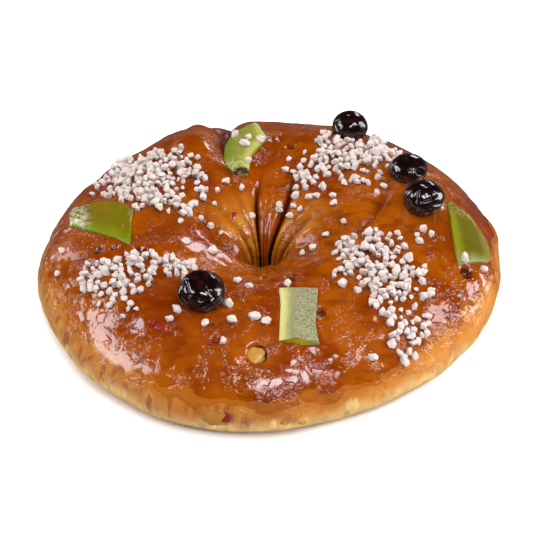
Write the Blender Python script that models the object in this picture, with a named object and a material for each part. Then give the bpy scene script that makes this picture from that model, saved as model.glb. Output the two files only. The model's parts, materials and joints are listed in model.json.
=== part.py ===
"""A roscon de reyes: a sweet bread ring for Epiphany, with candied cherries and candied green fruit.

The bread is one solid. Its cross-section is a smooth curve through a few named points, carried
round the hole, and pressed in along the folds of the dough. Every piece of fruit is a solid of
its own, seated in a socket in the bread that leaves a hair of clearance.
Metres, +Z up, the flat underside on Z = 0, and the front of the ring towards -Y.
"""

import math

import bmesh
import bpy
import numpy as np
from mathutils import Matrix, Vector, noise
from mathutils.bvhtree import BVHTree

MM = 0.001

# Driving dimensions of the ring.
RING_RADIUS = 109.0 * MM  # mean radius at the widest point of the flank
CROWN_HEIGHT = 42.0 * MM  # mean height of the crown
THROAT_RADIUS = 6.4 * MM  # mean radius of the hole, where it is narrowest
RING_CENTRE = (-0.8 * MM, 0.9 * MM)  # puts the middle of the ring's box over the origin
THROAT_OFFSET = (-3.0 * MM, -5.2 * MM)  # the hole sits a little off the ring's centre

# How far the ring is from a true one: (waves round the ring, amplitude, angle of one crest).
THROAT_WAVES = ((2, 1.6 * MM, 5.0),)
OUTLINE_WAVES = ((2, 3.1 * MM, 25.0), (3, 0.8 * MM, 10.0), (4, 0.8 * MM, -17.0))
HEIGHT_WAVES = ((1, 3.0 * MM, 68.0), (3, 0.7 * MM, 115.0), (4, 0.6 * MM, 10.0))

# The cross-section, from the inner edge of the base, up the throat, over the crown and down to
# the outer edge of the base: (share of the way from throat to rim, share of the crown height).
SECTION = (
    (0.070, 0.000),
    (0.010, 0.160),
    (0.000, 0.420),
    (0.060, 0.680),
    (0.185, 0.860),
    (0.350, 0.970),
    (0.520, 1.000),
    (0.700, 0.950),
    (0.850, 0.800),
    (0.955, 0.580),
    (1.000, 0.340),
    (0.965, 0.110),
    (0.890, 0.000),
)

# Folds in the crust: (its angle carried back to the throat, how far the angle drifts on the way
# out to the rim, half width at the throat, depth, shares of the way out where it starts and ends).
# A fold that runs down into the hole starts below zero.
FOLDS = (
    (122.0, -22.0, 15.0, 5.2 * MM, 0.26, 1.04),
    (106.0, -40.0, 12.0, 3.6 * MM, -0.46, 0.46),
    (58.0, 34.0, 12.0, 4.0 * MM, -0.50, 0.50),
    (202.0, -190.0, 26.0, 3.2 * MM, -0.40, 0.40),
    (24.0, 40.0, 24.0, 2.4 * MM, -0.24, 0.24),
    (301.0, 150.0, 16.0, 3.4 * MM, 0.20, 0.62),
    (162.0, 51.0, 17.0, 2.2 * MM, 0.16, 0.72),
    (266.0, 3.0, 16.0, 0.8 * MM, -0.44, 0.44),
    (300.0, -5.0, 18.0, 1.2 * MM, -0.42, 0.42),
    (330.0, 0.0, 18.0, 1.8 * MM, -0.50, 0.50),
)

# Lumps where the dough swelled, and hollows where it sank: (angle, share of the way out, half
# width in degrees, half width as a share of the way out, height, below zero for a hollow).
LUMPS = (
    (121.0, 0.68, 14.0, 0.42, 4.6 * MM),
    (84.0, 0.62, 20.0, 0.46, -2.0 * MM),
    (262.0, 0.14, 80.0, 0.17, -1.6 * MM),
    (68.0, 0.62, 22.0, 0.40, 1.4 * MM),
    (40.0, 0.66, 22.0, 0.44, 1.8 * MM),
    (6.0, 0.60, 26.0, 0.50, 2.2 * MM),
    (318.0, 0.66, 32.0, 0.48, 2.2 * MM),
    (248.0, 0.62, 34.0, 0.48, 1.8 * MM),
    (200.0, 0.60, 24.0, 0.46, 1.6 * MM),
    (158.0, 0.40, 26.0, 0.34, 2.0 * MM),
)

UNEVENNESS = 0.9 * MM  # how far the crust wanders in and out between the lumps
UNEVENNESS_SIZE = 24.0 * MM

STEPS_ROUND = 92
STEPS_ACROSS = 28

# Candied fruit stands on the crust at a point of the plan, sunk a little way into it.
CLEARANCE = 0.35 * MM  # gap left all round a piece of fruit in its socket

# Cherries: (x and y of the middle, width, height, how deep it sinks, turn, how deep its wrinkles).
CHERRIES = {
    "cherry_front": (-30.9 * MM, -56.7 * MM, 22.5 * MM, 17.2 * MM, 3.0 * MM, 20.0, 0.035),
    "cherry_back": (40.2 * MM, 72.9 * MM, 18.6 * MM, 16.4 * MM, 2.6 * MM, 75.0, 0.010),
    "cherry_right": (67.0 * MM, 32.2 * MM, 18.6 * MM, 15.4 * MM, 3.0 * MM, 140.0, 0.015),
    "cherry_right_low": (72.4 * MM, 5.6 * MM, 20.2 * MM, 17.0 * MM, 2.8 * MM, 200.0, 0.045),
}
CHERRY_SEGMENTS = 20
CHERRY_RINGS = 12

# Green fruit is cut in slices. Each lies along a heading, and its outline is given by rows:
# (distance along the heading, reach to its right, reach to its left), all from its middle.
# Then its thickness at the edges and at the ridge, where the ridge runs as a share of the way
# across, and how far a pointed end runs past the last row.
SLICES = {
    "green_left": {
        "middle": (-80.8 * MM, 3.9 * MM),
        "heading": 0.0,
        "rows": ((-16, 2.5, 18), (-9, -4, 16), (-2, -10, 14.5), (7, -16, 11), (15, -22, 4.5)),
        "edge": 3.4 * MM,
        "ridge": 4.6 * MM,
        "ridge_at": 0.55,
        "point": 0.0,
        "sink": 1.3 * MM,
    },
    "green_back": {
        "middle": (-12.8 * MM, 55.9 * MM),
        "heading": 90.0,
        "rows": (
            (-23, -1.2, 3.0),
            (-19, -2.2, 6.2),
            (-13, -2.7, 9.4),
            (-2, -6.6, 10),
            (8, -11, 8.6),
            (15, -8.4, 5.6),
            (21, -6.4, -2.6),
        ),
        "edge": 3.2 * MM,
        "ridge": 4.2 * MM,
        "ridge_at": 0.5,
        "point": 0.0,
        "sink": 1.5 * MM,
    },
    "green_right": {
        "middle": (92.2 * MM, -7.1 * MM),
        "heading": -90.0,
        "rows": (
            (-18, -7.5, -4.6),
            (-14, -7.8, 3.2),
            (-3, -7.2, 9.8),
            (6, -6.5, 11.4),
            (11, -6, 10.8),
            (17, -5.2, 7.0),
        ),
        "edge": 2.6 * MM,
        "ridge": 3.4 * MM,
        "ridge_at": 0.4,
        "point": 0.0,
        "sink": 1.2 * MM,
    },
    "green_front": {
        "middle": (12.7 * MM, -65.6 * MM),
        "heading": -90.0,
        "rows": ((-17.5, -9, 8.7), (-6, -8.4, 8), (5, -8.8, 7.2), (15.5, -9.2, 8.6)),
        "edge": 1.9 * MM,
        "ridge": 4.9 * MM,
        "ridge_at": 0.4,
        "point": 2.0 * MM,
        "sink": 1.2 * MM,
    },
}
SLICE_STEPS_ALONG = 10
SLICE_STEPS_ACROSS = 6

# Colours, linear, and how rough each surface is.
CRUST_BROWN = (0.33, 0.085, 0.012)
CHERRY_BLACK = (0.020, 0.004, 0.006)
CANDIED_GREEN = (0.20, 0.24, 0.018)
PALE_GREEN = (0.52, 0.58, 0.25)


def wrapped(angle):
    """An angle in degrees, brought to between -180 and 180."""
    return (angle + 180.0) % 360.0 - 180.0


def hump(x):
    """A smooth hump: 1 at x = 0, and 0 beyond x = 1 either way."""
    return (1.0 - np.clip(np.abs(x), 0.0, 1.0) ** 2) ** 2


def crease(x):
    """A valley with a narrow floor: 1 at x = 0, and 0 beyond x = 1 either way."""
    return (1.0 - np.clip(np.abs(x), 0.0, 1.0)) ** 1.7


def waves(mean, table, angle):
    """A radius or a height that wanders round the ring."""
    return mean + sum(
        size * np.cos(np.radians(count * (angle - crest))) for count, size, crest in table
    )


def section_at(along):
    """(share out, share up) on the section's curve, where along runs from 0 to 1."""
    points = np.array(SECTION)
    first = 2 * points[0] - points[1]
    last = 2 * points[-1] - points[-2]
    padded = np.vstack([first, points, last])
    position = np.clip(along, 0.0, 1.0) * (len(points) - 1)
    index = np.minimum(position.astype(int), len(points) - 2)
    t = (position - index)[..., None]
    a, b, c, d = (padded[index + k] for k in range(4))
    curve = 0.5 * (
        2 * b + (c - a) * t + (2 * a - 5 * b + 4 * c - d) * t**2 + (3 * b - a - 3 * c + d) * t**3
    )
    return curve[..., 0], np.maximum(curve[..., 1], 0.0)


def plain_ring(angle, along):
    """Points of the ring before folds and lumps. The arguments are arrays of one shape."""
    out, up = section_at(along)
    throat = waves(THROAT_RADIUS, THROAT_WAVES, angle)
    rim = waves(RING_RADIUS, OUTLINE_WAVES, angle)
    radius = throat + (rim - throat) * out
    turn = np.radians(angle)
    x = RING_CENTRE[0] + radius * np.cos(turn) + THROAT_OFFSET[0] * (1 - out)
    y = RING_CENTRE[1] + radius * np.sin(turn) + THROAT_OFFSET[1] * (1 - out)
    z = waves(CROWN_HEIGHT, HEIGHT_WAVES, angle) * up
    return np.stack([x, y, z], axis=-1)


def relief(angle, along, place):
    """How far the crust stands in or out of the plain ring, along its normal."""
    out, up = section_at(along)
    height = np.zeros_like(out)
    for at, drift, half_width, depth, start, end in FOLDS:
        off = wrapped(angle - at - drift * out) / (half_width * (1.0 - 0.55 * out))
        length = (2 * out - start - end) / (end - start)
        height -= depth * crease(off) * np.sqrt(hump(length))
    for at, share, half_turn, half_share, tall in LUMPS:
        height += tall * hump(wrapped(angle - at) / half_turn) * hump((out - share) / half_share)
    wander = [noise.noise(Vector(p) / UNEVENNESS_SIZE) for p in place.reshape(-1, 3)]
    height += UNEVENNESS * np.reshape(wander, height.shape)
    return height * np.clip(up / 0.25, 0.0, 1.0)


def ring_normal(angle, along):
    """The plain ring's outward normal, from two small steps on its surface."""
    step = 0.5
    round_step = plain_ring(angle + step, along) - plain_ring(angle - step, along)
    share = step / 200.0
    across_step = plain_ring(angle, along + share) - plain_ring(angle, along - share)
    normal = np.cross(round_step, across_step)
    return -normal / np.linalg.norm(normal, axis=-1, keepdims=True)


def crust(angle, along):
    """Points on the finished crust."""
    angle, along = np.broadcast_arrays(np.asarray(angle, float), np.asarray(along, float))
    place = plain_ring(angle, along)
    place = place + relief(angle, along, place)[..., None] * ring_normal(angle, along)
    place[..., 2] = np.maximum(place[..., 2], 0.0)
    return place


def finished(name, shape, material):
    """Turns a bmesh into a smooth-shaded object in the scene, and frees the bmesh."""
    bmesh.ops.recalc_face_normals(shape, faces=shape.faces)
    mesh = bpy.data.meshes.new(name)
    shape.to_mesh(mesh)
    shape.free()
    mesh.shade_smooth()
    mesh.set_sharp_from_angle(angle=math.radians(50.0))
    mesh.materials.append(material)
    thing = bpy.data.objects.new(name, mesh)
    bpy.context.scene.collection.objects.link(thing)
    return thing


def plain_material(name, colour, roughness):
    """A Principled BSDF of one colour."""
    material = bpy.data.materials.new(name)
    material.use_nodes = True
    shader = material.node_tree.nodes["Principled BSDF"]
    shader.inputs["Base Color"].default_value = (*colour, 1.0)
    shader.inputs["Roughness"].default_value = roughness
    shader.inputs["Metallic"].default_value = 0.0
    return material


def bread_shape():
    """The bread: loops of crust points bridged round the ring, closed by a flat base."""
    angles = np.arange(STEPS_ROUND) * 360.0 / STEPS_ROUND
    alongs = np.linspace(0.0, 1.0, STEPS_ACROSS)
    grid = crust(angles[:, None], alongs[None, :])
    shape = bmesh.new()
    stations = [[shape.verts.new(point) for point in station] for station in grid]
    for station, following in zip(stations, stations[1:] + stations[:1]):
        for k in range(STEPS_ACROSS - 1):
            shape.faces.new((station[k], following[k], following[k + 1], station[k + 1]))
        shape.faces.new((station[-1], following[-1], following[0], station[0]))
    return shape


def crust_below(tree, x, y):
    """The point on the crust straight below a point of the plan, and its normal."""
    place, normal, _, _ = tree.ray_cast(Vector((x, y, 1.0)), Vector((0.0, 0.0, -1.0)))
    return place, normal


def cherry_shape(width, height, wrinkle, grow):
    """A candied cherry: a squashed ball with a dimple on top and shallow wrinkles round it."""
    shape = bmesh.new()
    bmesh.ops.create_uvsphere(
        shape, u_segments=CHERRY_SEGMENTS, v_segments=CHERRY_RINGS, radius=1.0
    )
    for vert in shape.verts:
        way = vert.co.normalized()
        dimple = 0.10 * math.exp(-((1.0 - way.z) / 0.06))
        fold = noise.noise(way * 2.3 + Vector((width, height, 0.0)) / MM)
        size = 1.0 - dimple - wrinkle * (1.0 + fold)
        vert.co = Vector(
            (
                way.x * (width / 2 * size + grow),
                way.y * (width / 2 * size + grow),
                way.z * (height / 2 * size + grow),
            )
        )
    return shape


def cherry(name, tree, material, grow=0.0):
    """A cherry standing square on the crust below its point of the plan."""
    x, y, width, height, sink, turn, wrinkle = CHERRIES[name]
    foot, normal = crust_below(tree, x, y)
    up = (normal + Vector((0.0, 0.0, 1.0))).normalized()
    shape = cherry_shape(width, height, wrinkle, grow)
    thing = finished(name, shape, material)
    lift = Matrix.Translation(foot + up * (height / 2 - sink))
    lean = up.to_track_quat("Z", "Y").to_matrix().to_4x4()
    thing.matrix_world = lift @ lean @ Matrix.Rotation(math.radians(turn), 4, "Z")
    return thing


def bed_under(tree, middle, forward, leftward, rows):
    """A smooth bed for a slice: the quadratic that best fits the crust below its outline.

    Returns a function that gives the bed's point and normal at (along, across) from the middle.
    """
    spots = [
        (along, right + (left - right) * share)
        for along, right, left in rows
        for share in (0.0, 0.25, 0.5, 0.75, 1.0)
    ]
    terms = []
    heights = []
    for along, across in spots:
        spot = middle + forward * along + leftward * across
        terms.append((1.0, along, across, along**2, along * across, across**2))
        heights.append(crust_below(tree, spot.x, spot.y)[0].z)
    a, b, c, d, e, f = (float(value) for value in np.linalg.lstsq(terms, heights, rcond=None)[0])

    def bed(along, across):
        spot = middle + forward * along + leftward * across
        spot.z = a + b * along + c * across + d * along**2 + e * along * across + f * across**2
        slope_along = forward + Vector((0.0, 0.0, b + 2 * d * along + e * across))
        slope_across = leftward + Vector((0.0, 0.0, c + e * along + 2 * f * across))
        return spot, slope_along.cross(slope_across).normalized()

    return bed


def slice_shape(tree, cut, grow):
    """A slice of candied fruit: a lower and an upper skin over its bed, closed round the edge."""
    heading = math.radians(cut["heading"])
    forward = Vector((math.cos(heading), math.sin(heading), 0.0))
    leftward = Vector((-math.sin(heading), math.cos(heading), 0.0))
    middle = Vector((*cut["middle"], 0.0))
    rows = np.array(cut["rows"]) * MM
    bed = bed_under(tree, middle, forward, leftward, rows)
    shape = bmesh.new()
    skins = []
    for upper in (False, True):
        skin = []
        for share_along in np.linspace(0.0, 1.0, SLICE_STEPS_ALONG + 1):
            along = rows[0][0] + (rows[-1][0] - rows[0][0]) * share_along
            right = np.interp(along, rows[:, 0], rows[:, 1]) - grow
            left = np.interp(along, rows[:, 0], rows[:, 2]) + grow
            line = []
            for share in np.linspace(0.0, 1.0, SLICE_STEPS_ACROSS + 1):
                crest = np.interp(share, (0.0, cut["ridge_at"], 1.0), (0.0, 1.0, 0.0))
                spread = grow * (2 * share_along - 1) + cut["point"] * crest * share_along**6
                place, normal = bed(along + spread, right + (left - right) * share)
                height = -cut["sink"] - grow
                if upper:
                    height = cut["edge"] + (cut["ridge"] - cut["edge"]) * crest - cut["sink"] + grow
                line.append(shape.verts.new(place + normal * height))
            skin.append(line)
        skins.append(skin)
    close_skins(shape, *skins)
    return shape


def close_skins(shape, lower, upper):
    """Faces over two grids of points, and a wall between their edges."""
    for skin in (lower, upper):
        for line, following in zip(skin, skin[1:]):
            for k in range(len(line) - 1):
                shape.faces.new((line[k], line[k + 1], following[k + 1], following[k]))
    for below, above in zip(edge_of(lower), edge_of(upper)):
        shape.faces.new((*below, *reversed(above)))


def edge_of(skin):
    """The border of a grid of points, as pairs of neighbours."""
    border = (
        skin[0]
        + [line[-1] for line in skin[1:]]
        + list(reversed(skin[-1][:-1]))
        + [line[0] for line in reversed(skin[1:-1])]
    )
    return list(zip(border, border[1:] + border[:1]))


def cut_socket(bread, cutter):
    """Cuts the cutter out of the bread, and hides the cutter."""
    cutter.hide_render = True
    cutter.display_type = "WIRE"
    modifier = bread.modifiers.new(cutter.name, "BOOLEAN")
    modifier.operation = "DIFFERENCE"
    modifier.solver = "EXACT"
    modifier.object = cutter


def main():
    """Builds the ring and its fruit."""
    for old in list(bpy.data.objects):
        bpy.data.objects.remove(old)
    baked = plain_material("baked_crust", CRUST_BROWN, 0.30)
    dark = plain_material("candied_cherry", CHERRY_BLACK, 0.12)
    green = plain_material("candied_green", CANDIED_GREEN, 0.20)
    pale = plain_material("candied_pale_green", PALE_GREEN, 0.35)

    shape = bread_shape()
    tree = BVHTree.FromBMesh(shape)
    bread = finished("bread", shape, baked)

    for name in CHERRIES:
        cherry(name, tree, dark)
        socket = cherry(name, tree, dark, CLEARANCE)
        socket.name = name + "_socket"
        cut_socket(bread, socket)
    for name, cut in SLICES.items():
        material = pale if name == "green_front" else green
        finished(name, slice_shape(tree, cut, 0.0), material)
        socket = finished(name + "_socket", slice_shape(tree, cut, CLEARANCE), material)
        cut_socket(bread, socket)


if __name__ == "__main__":
    main()
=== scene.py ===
# %% [markdown]
# # A roscon de reyes
# A roscon is a ring of sweet bread for Epiphany. This one is glazed and baked to a deep
# orange-brown, and set with candied cherries, slices of green candied fruit and heaps of coarse
# sugar nibs. The solids of the bread and of each piece of fruit are already in the frame. This
# notebook gives them their fine surface and their finishes, and lays the sugar on top.

# %% Load the frame
import json
import math

import bmesh
import bpy
import numpy as np
from mathutils import Matrix, Quaternion, Vector, noise
from mathutils.bvhtree import BVHTree

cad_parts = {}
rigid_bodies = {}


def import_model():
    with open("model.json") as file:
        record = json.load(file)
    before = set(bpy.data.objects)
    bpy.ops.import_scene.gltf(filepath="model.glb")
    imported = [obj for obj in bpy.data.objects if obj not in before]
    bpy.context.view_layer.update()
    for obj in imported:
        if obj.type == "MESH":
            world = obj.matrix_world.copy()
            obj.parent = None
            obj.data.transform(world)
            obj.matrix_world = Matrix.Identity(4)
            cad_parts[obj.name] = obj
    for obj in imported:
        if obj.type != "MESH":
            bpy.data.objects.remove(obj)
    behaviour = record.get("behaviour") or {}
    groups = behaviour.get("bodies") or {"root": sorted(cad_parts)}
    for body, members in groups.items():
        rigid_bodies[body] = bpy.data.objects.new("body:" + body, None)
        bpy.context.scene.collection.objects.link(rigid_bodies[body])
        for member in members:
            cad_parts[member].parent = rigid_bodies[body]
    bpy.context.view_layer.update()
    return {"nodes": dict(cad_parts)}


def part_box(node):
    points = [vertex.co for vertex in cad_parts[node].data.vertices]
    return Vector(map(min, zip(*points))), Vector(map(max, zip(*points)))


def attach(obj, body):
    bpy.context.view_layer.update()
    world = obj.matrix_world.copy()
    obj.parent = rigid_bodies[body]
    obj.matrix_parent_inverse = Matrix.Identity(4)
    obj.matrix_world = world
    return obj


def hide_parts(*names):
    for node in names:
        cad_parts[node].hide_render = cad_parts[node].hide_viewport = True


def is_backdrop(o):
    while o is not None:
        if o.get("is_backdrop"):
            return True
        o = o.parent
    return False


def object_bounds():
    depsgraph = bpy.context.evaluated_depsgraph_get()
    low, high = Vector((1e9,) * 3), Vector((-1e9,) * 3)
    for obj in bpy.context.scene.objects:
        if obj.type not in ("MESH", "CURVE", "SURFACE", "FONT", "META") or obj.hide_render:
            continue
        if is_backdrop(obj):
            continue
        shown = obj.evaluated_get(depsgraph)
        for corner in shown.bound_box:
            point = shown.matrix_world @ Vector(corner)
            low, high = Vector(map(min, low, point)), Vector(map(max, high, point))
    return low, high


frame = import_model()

MM = 0.001
print("solids in the frame:", ", ".join(sorted(frame["nodes"])))

# %% [markdown]
# ## Camera, floor and light
# The ring lies on a white table and is seen from the front and well above. A long lens at arm's
# length keeps the far side of the ring nearly as wide as the near side. The light is a bright
# white room with soft boxes at the left, the right, the front and the far side. Glazed crust
# shows its shape mostly by what it reflects, so their places matter more than the light that
# they throw. Four more boxes only fill in the shadows, and the glaze doesn't mirror them.

# %% Camera
VIEW_DISTANCE = 0.800
VIEW_ELEVATION = math.radians(39.4)
AIM = Vector((-0.4 * MM, 0.9 * MM, 10.4 * MM))  # low in the ring, just off its middle
SENSOR_WIDTH_MM = 36.0
LENS_MM = 109.3

lens = bpy.data.cameras.new("camera")
lens.sensor_width = SENSOR_WIDTH_MM
lens.lens = LENS_MM
lens.clip_start = 0.01
camera = bpy.data.objects.new("camera", lens)
bpy.context.scene.collection.objects.link(camera)
camera.location = AIM + VIEW_DISTANCE * Vector((0, -math.cos(VIEW_ELEVATION), math.sin(VIEW_ELEVATION)))
camera.rotation_euler = (math.pi / 2 - VIEW_ELEVATION, 0.0, 0.0)
bpy.context.scene.camera = camera

# %% Soft boxes
LAMP_COLOUR = (0.97, 0.965, 1.0)
LIT_POINT = Vector((0, 0, 0.02))  # what every soft box faces


def soft_box(name, place, size, watts, tilt=0.0, mirrored=True):
    """A soft box at a place in metres, facing the ring. Its tilt leans its upright to one side."""
    lamp = bpy.data.lights.new(name, "AREA")
    lamp.shape = "RECTANGLE"
    lamp.size, lamp.size_y = size
    lamp.energy = watts
    lamp.color = LAMP_COLOUR
    box = bpy.data.objects.new(name, lamp)
    box.location = place
    facing = (LIT_POINT - Vector(place)).to_track_quat("-Z", "Y")
    box.rotation_euler = (facing @ Quaternion((0, 0, 1), math.radians(tilt))).to_euler()
    box.visible_glossy = mirrored
    bpy.context.scene.collection.objects.link(box)


soft_box("box_left", (-1.20, -0.06, 0.82), (1.06, 0.42), 11.6)
soft_box("box_back", (-1.00, 0.96, 0.42), (0.17, 0.95), 1.9)
soft_box("box_right", (1.32, 0.23, 0.49), (0.46, 1.10), 12.0, tilt=20.0)
soft_box("box_front", (0.23, -0.80, 1.13), (0.46, 0.28), 5.6)
soft_box("box_front_right", (0.66, -0.43, 1.16), (0.34, 0.42), 5.0)
soft_box("box_far", (0.46, 1.26, 0.54), (0.40, 0.34), 2.8)
soft_box("fill_over", (0.0, 0.25, 2.0), (2.4, 2.4), 50.0, mirrored=False)
soft_box("fill_front", (0.23, -0.80, 1.20), (0.70, 0.40), 3.0, mirrored=False)
soft_box("fill_left", (-1.24, -0.05, 0.70), (0.90, 0.60), 3.4, mirrored=False)
soft_box("fill_right", (1.30, -0.80, 0.50), (0.90, 0.70), 13.0, mirrored=False)

# %% The room
ROOM_COLOUR = (1.0, 0.99, 0.98, 1.0)
FLOOR_GLOW = 0.12
CEILING_GLOW = 0.003
GLOW_FADES = (-0.15, 0.42)  # heights of a direction where the glow starts and ends its fall


def lit_room():
    """A room that is pale low down and has a dark ceiling, which keeps the glaze deep in colour."""
    room = bpy.data.worlds.new("studio_room")
    room.use_nodes = True
    nodes, links = room.node_tree.nodes, room.node_tree.links
    way = nodes.new("ShaderNodeTexCoord")
    height = nodes.new("ShaderNodeSeparateXYZ")
    fade = nodes.new("ShaderNodeMapRange")
    fade.interpolation_type = "SMOOTHSTEP"
    links.new(way.outputs["Generated"], height.inputs[0])
    links.new(height.outputs["Z"], fade.inputs["Value"])
    fade.inputs["From Min"].default_value, fade.inputs["From Max"].default_value = GLOW_FADES
    fade.inputs["To Min"].default_value = FLOOR_GLOW
    fade.inputs["To Max"].default_value = CEILING_GLOW
    links.new(fade.outputs["Result"], nodes["Background"].inputs["Strength"])
    nodes["Background"].inputs["Color"].default_value = ROOM_COLOUR
    return room


bpy.context.scene.world = lit_room()
bpy.context.scene.view_settings.view_transform = "Standard"

# %% [markdown]
# ## A short hand for shader recipes
# Every finish below is a recipe of nodes. Written out node by node, a recipe hides its own idea,
# so one small class wraps a socket and lets plain sums and products stand for Math nodes, and
# another holds the recipe of one material.

# %% Amounts and finishes
class Amount:
    """A socket whose value varies over a surface. Sums and products of it add Math nodes."""

    def __init__(self, finish, socket):
        self.finish = finish
        self.socket = socket

    def maths(self, operation, first, second):
        return self.finish.node("ShaderNodeMath", {"operation": operation}, {0: first, 1: second})

    def __add__(self, other):
        return self.maths("ADD", self, other)

    def __sub__(self, other):
        return self.maths("SUBTRACT", self, other)

    def __rsub__(self, other):
        return self.maths("SUBTRACT", other, self)

    def __mul__(self, other):
        return self.maths("MULTIPLY", self, other)

    __radd__ = __add__
    __rmul__ = __mul__


class Finish:
    """The recipe of one material, built up from nodes."""

    NOISE_ROUGHNESS = 0.55  # how much of its blotches' strength each finer layer of noise keeps

    def __init__(self, name, **constants):
        self.material = bpy.data.materials.new(name)
        self.material.use_nodes = True
        self.tree = self.material.node_tree
        self.shader = self.tree.nodes["Principled BSDF"]
        for socket, value in constants.items():
            self.shader.inputs[socket.replace("_", " ")].default_value = value
        self.where = self.node("ShaderNodeTexCoord", output="Object")

    def node(self, kind, settings=None, values=None, output=0):
        """Adds a node: its settings first, then its sockets' values or links. Gives one output."""
        made = self.tree.nodes.new(kind)
        for name, value in (settings or {}).items():
            setattr(made, name, value)
        for name, value in (values or {}).items():
            if isinstance(value, Amount):
                self.tree.links.new(value.socket, made.inputs[name])
            else:
                made.inputs[name].default_value = value
        return Amount(self, made.outputs[output])

    def feed(self, socket, amount):
        """Links an amount to a socket of the shader."""
        self.tree.links.new(amount.socket, self.shader.inputs[socket])

    def attribute(self, name):
        """A number stored on the mesh's points."""
        return self.node("ShaderNodeAttribute", {"attribute_name": name}, output="Fac")

    def stretched(self, scale):
        """Object coordinates, scaled apart along each axis."""
        return self.node("ShaderNodeMapping", None, {"Vector": self.where, "Scale": scale})

    def mottle(self, size, detail=3.0, warp=0.0, where=None):
        """Noise, 0 to 1, with blotches of about this size in metres."""
        values = {
            "Vector": where or self.where,
            "Scale": 1.0 / size,
            "Detail": detail,
            "Roughness": self.NOISE_ROUGHNESS,
            "Distortion": warp,
        }
        return self.node("ShaderNodeTexNoise", None, values, "Fac")

    def cells(self, size, feature="F1", where=None):
        """Distances in a pattern of cells of about this size in metres."""
        values = {"Vector": where or self.where, "Scale": 1.0 / size}
        return self.node("ShaderNodeTexVoronoi", {"feature": feature}, values, "Distance")

    def rise(self, amount, low, high):
        """0 below low, 1 above high, and smooth between."""
        settings = {"interpolation_type": "SMOOTHSTEP"}
        values = {"Value": amount, "From Min": low, "From Max": high}
        return self.node("ShaderNodeMapRange", settings, values)

    def warped(self, size, reach):
        """Object coordinates pushed about by noise of this size, as far as this reach in metres."""
        values = {"Vector": self.where, "Scale": 1.0 / size, "Detail": 2.0}
        noise_colour = self.node("ShaderNodeTexNoise", None, values, "Color")
        kind = "ShaderNodeVectorMath"
        centred = self.node(kind, {"operation": "SUBTRACT"}, {0: noise_colour, 1: (0.5, 0.5, 0.5)})
        push = self.node(kind, {"operation": "SCALE"}, {0: centred, "Scale": reach})
        return self.node(kind, {"operation": "ADD"}, {0: self.where, 1: push})

    def mix(self, share, first, second):
        """A colour between two colours: the first where the share is 0, the second where it is 1."""
        mixed = self.node("ShaderNodeMix", {"data_type": "RGBA"}, {0: share}, output=2)
        node = mixed.socket.node
        for index, colour in ((6, first), (7, second)):
            if isinstance(colour, Amount):
                self.tree.links.new(colour.socket, node.inputs[index])
            else:
                node.inputs[index].default_value = (*colour, 1.0)
        return mixed

    def bumps(self, *layers):
        """Feeds Normal from layers of bumps: (height from 0 to 1, depth in metres)."""
        normal = None
        for height, depth in layers:
            values = {"Height": height, "Distance": depth, "Strength": 1.0}
            if normal:
                values["Normal"] = normal
            normal = self.node("ShaderNodeBump", None, values)
        self.feed("Normal", normal)


# %% Floor
FLOOR_SIZE = 6.0
FLOOR_SHADE = (0.93, 0.93, 0.93)
FLOOR_WHITE = (0.95, 0.95, 0.95)

table = Finish("white_table", Roughness=0.9)
table.feed("Base Color", table.mix(table.mottle(0.05), FLOOR_SHADE, FLOOR_WHITE))
bpy.ops.mesh.primitive_plane_add(size=FLOOR_SIZE, location=(0.0, 0.0, 0.0))
floor = bpy.context.object
floor.name = "floor"
floor.data.materials.append(table.material)
floor.visible_glossy = False  # the glaze mirrors the room's glow instead, or its rim turns white
floor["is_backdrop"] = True

# %% [markdown]
# ## The bread's true shape
# The ring follows a rule: one smooth cross-section, carried round a small hole, a little out of
# round, with folds that run into the hole and lumps where the dough swelled. The solid in the
# frame is made by that rule with a coarse net. The same rule is written here with a net fine
# enough for creases, pits and wrinkles. A sculpted or subdivided copy of the solid would keep
# its sockets' jagged rims, and this one has none.

# %% The rule of the ring
RING_RADIUS = 109.0 * MM
CROWN_HEIGHT = 42.0 * MM
THROAT_RADIUS = 6.4 * MM
RING_CENTRE = (-0.8 * MM, 0.9 * MM)
THROAT_OFFSET = (-3.0 * MM, -5.2 * MM)  # the hole sits a little off the ring's centre

# (waves round the ring, amplitude, angle of one crest)
THROAT_WAVES = ((2, 1.6 * MM, 5.0),)
OUTLINE_WAVES = ((2, 3.1 * MM, 25.0), (3, 0.8 * MM, 10.0), (4, 0.8 * MM, -17.0))
HEIGHT_WAVES = ((1, 3.0 * MM, 68.0), (3, 0.7 * MM, 115.0), (4, 0.6 * MM, 10.0))

# (share of the way from throat to rim, share of the crown height), from the inner edge of the
# base, up the throat, over the crown and down to the outer edge of the base
SECTION = np.array(
    [
        (0.070, 0.000),
        (0.010, 0.160),
        (0.000, 0.420),
        (0.060, 0.680),
        (0.185, 0.860),
        (0.350, 0.970),
        (0.520, 1.000),
        (0.700, 0.950),
        (0.850, 0.800),
        (0.955, 0.580),
        (1.000, 0.340),
        (0.965, 0.110),
        (0.890, 0.000),
    ]
)


def waves(mean, table, angle):
    """A radius or a height that wanders round the ring."""
    return mean + sum(
        size * np.cos(np.radians(count * (angle - crest))) for count, size, crest in table
    )


def curve_between(a, b, c, d, t):
    """A smooth curve from b to c as t runs from 0 to 1, that goes on to a and d past its ends."""
    return 0.5 * (
        2 * b + (c - a) * t + (2 * a - 5 * b + 4 * c - d) * t**2 + (3 * b - a - 3 * c + d) * t**3
    )


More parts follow.
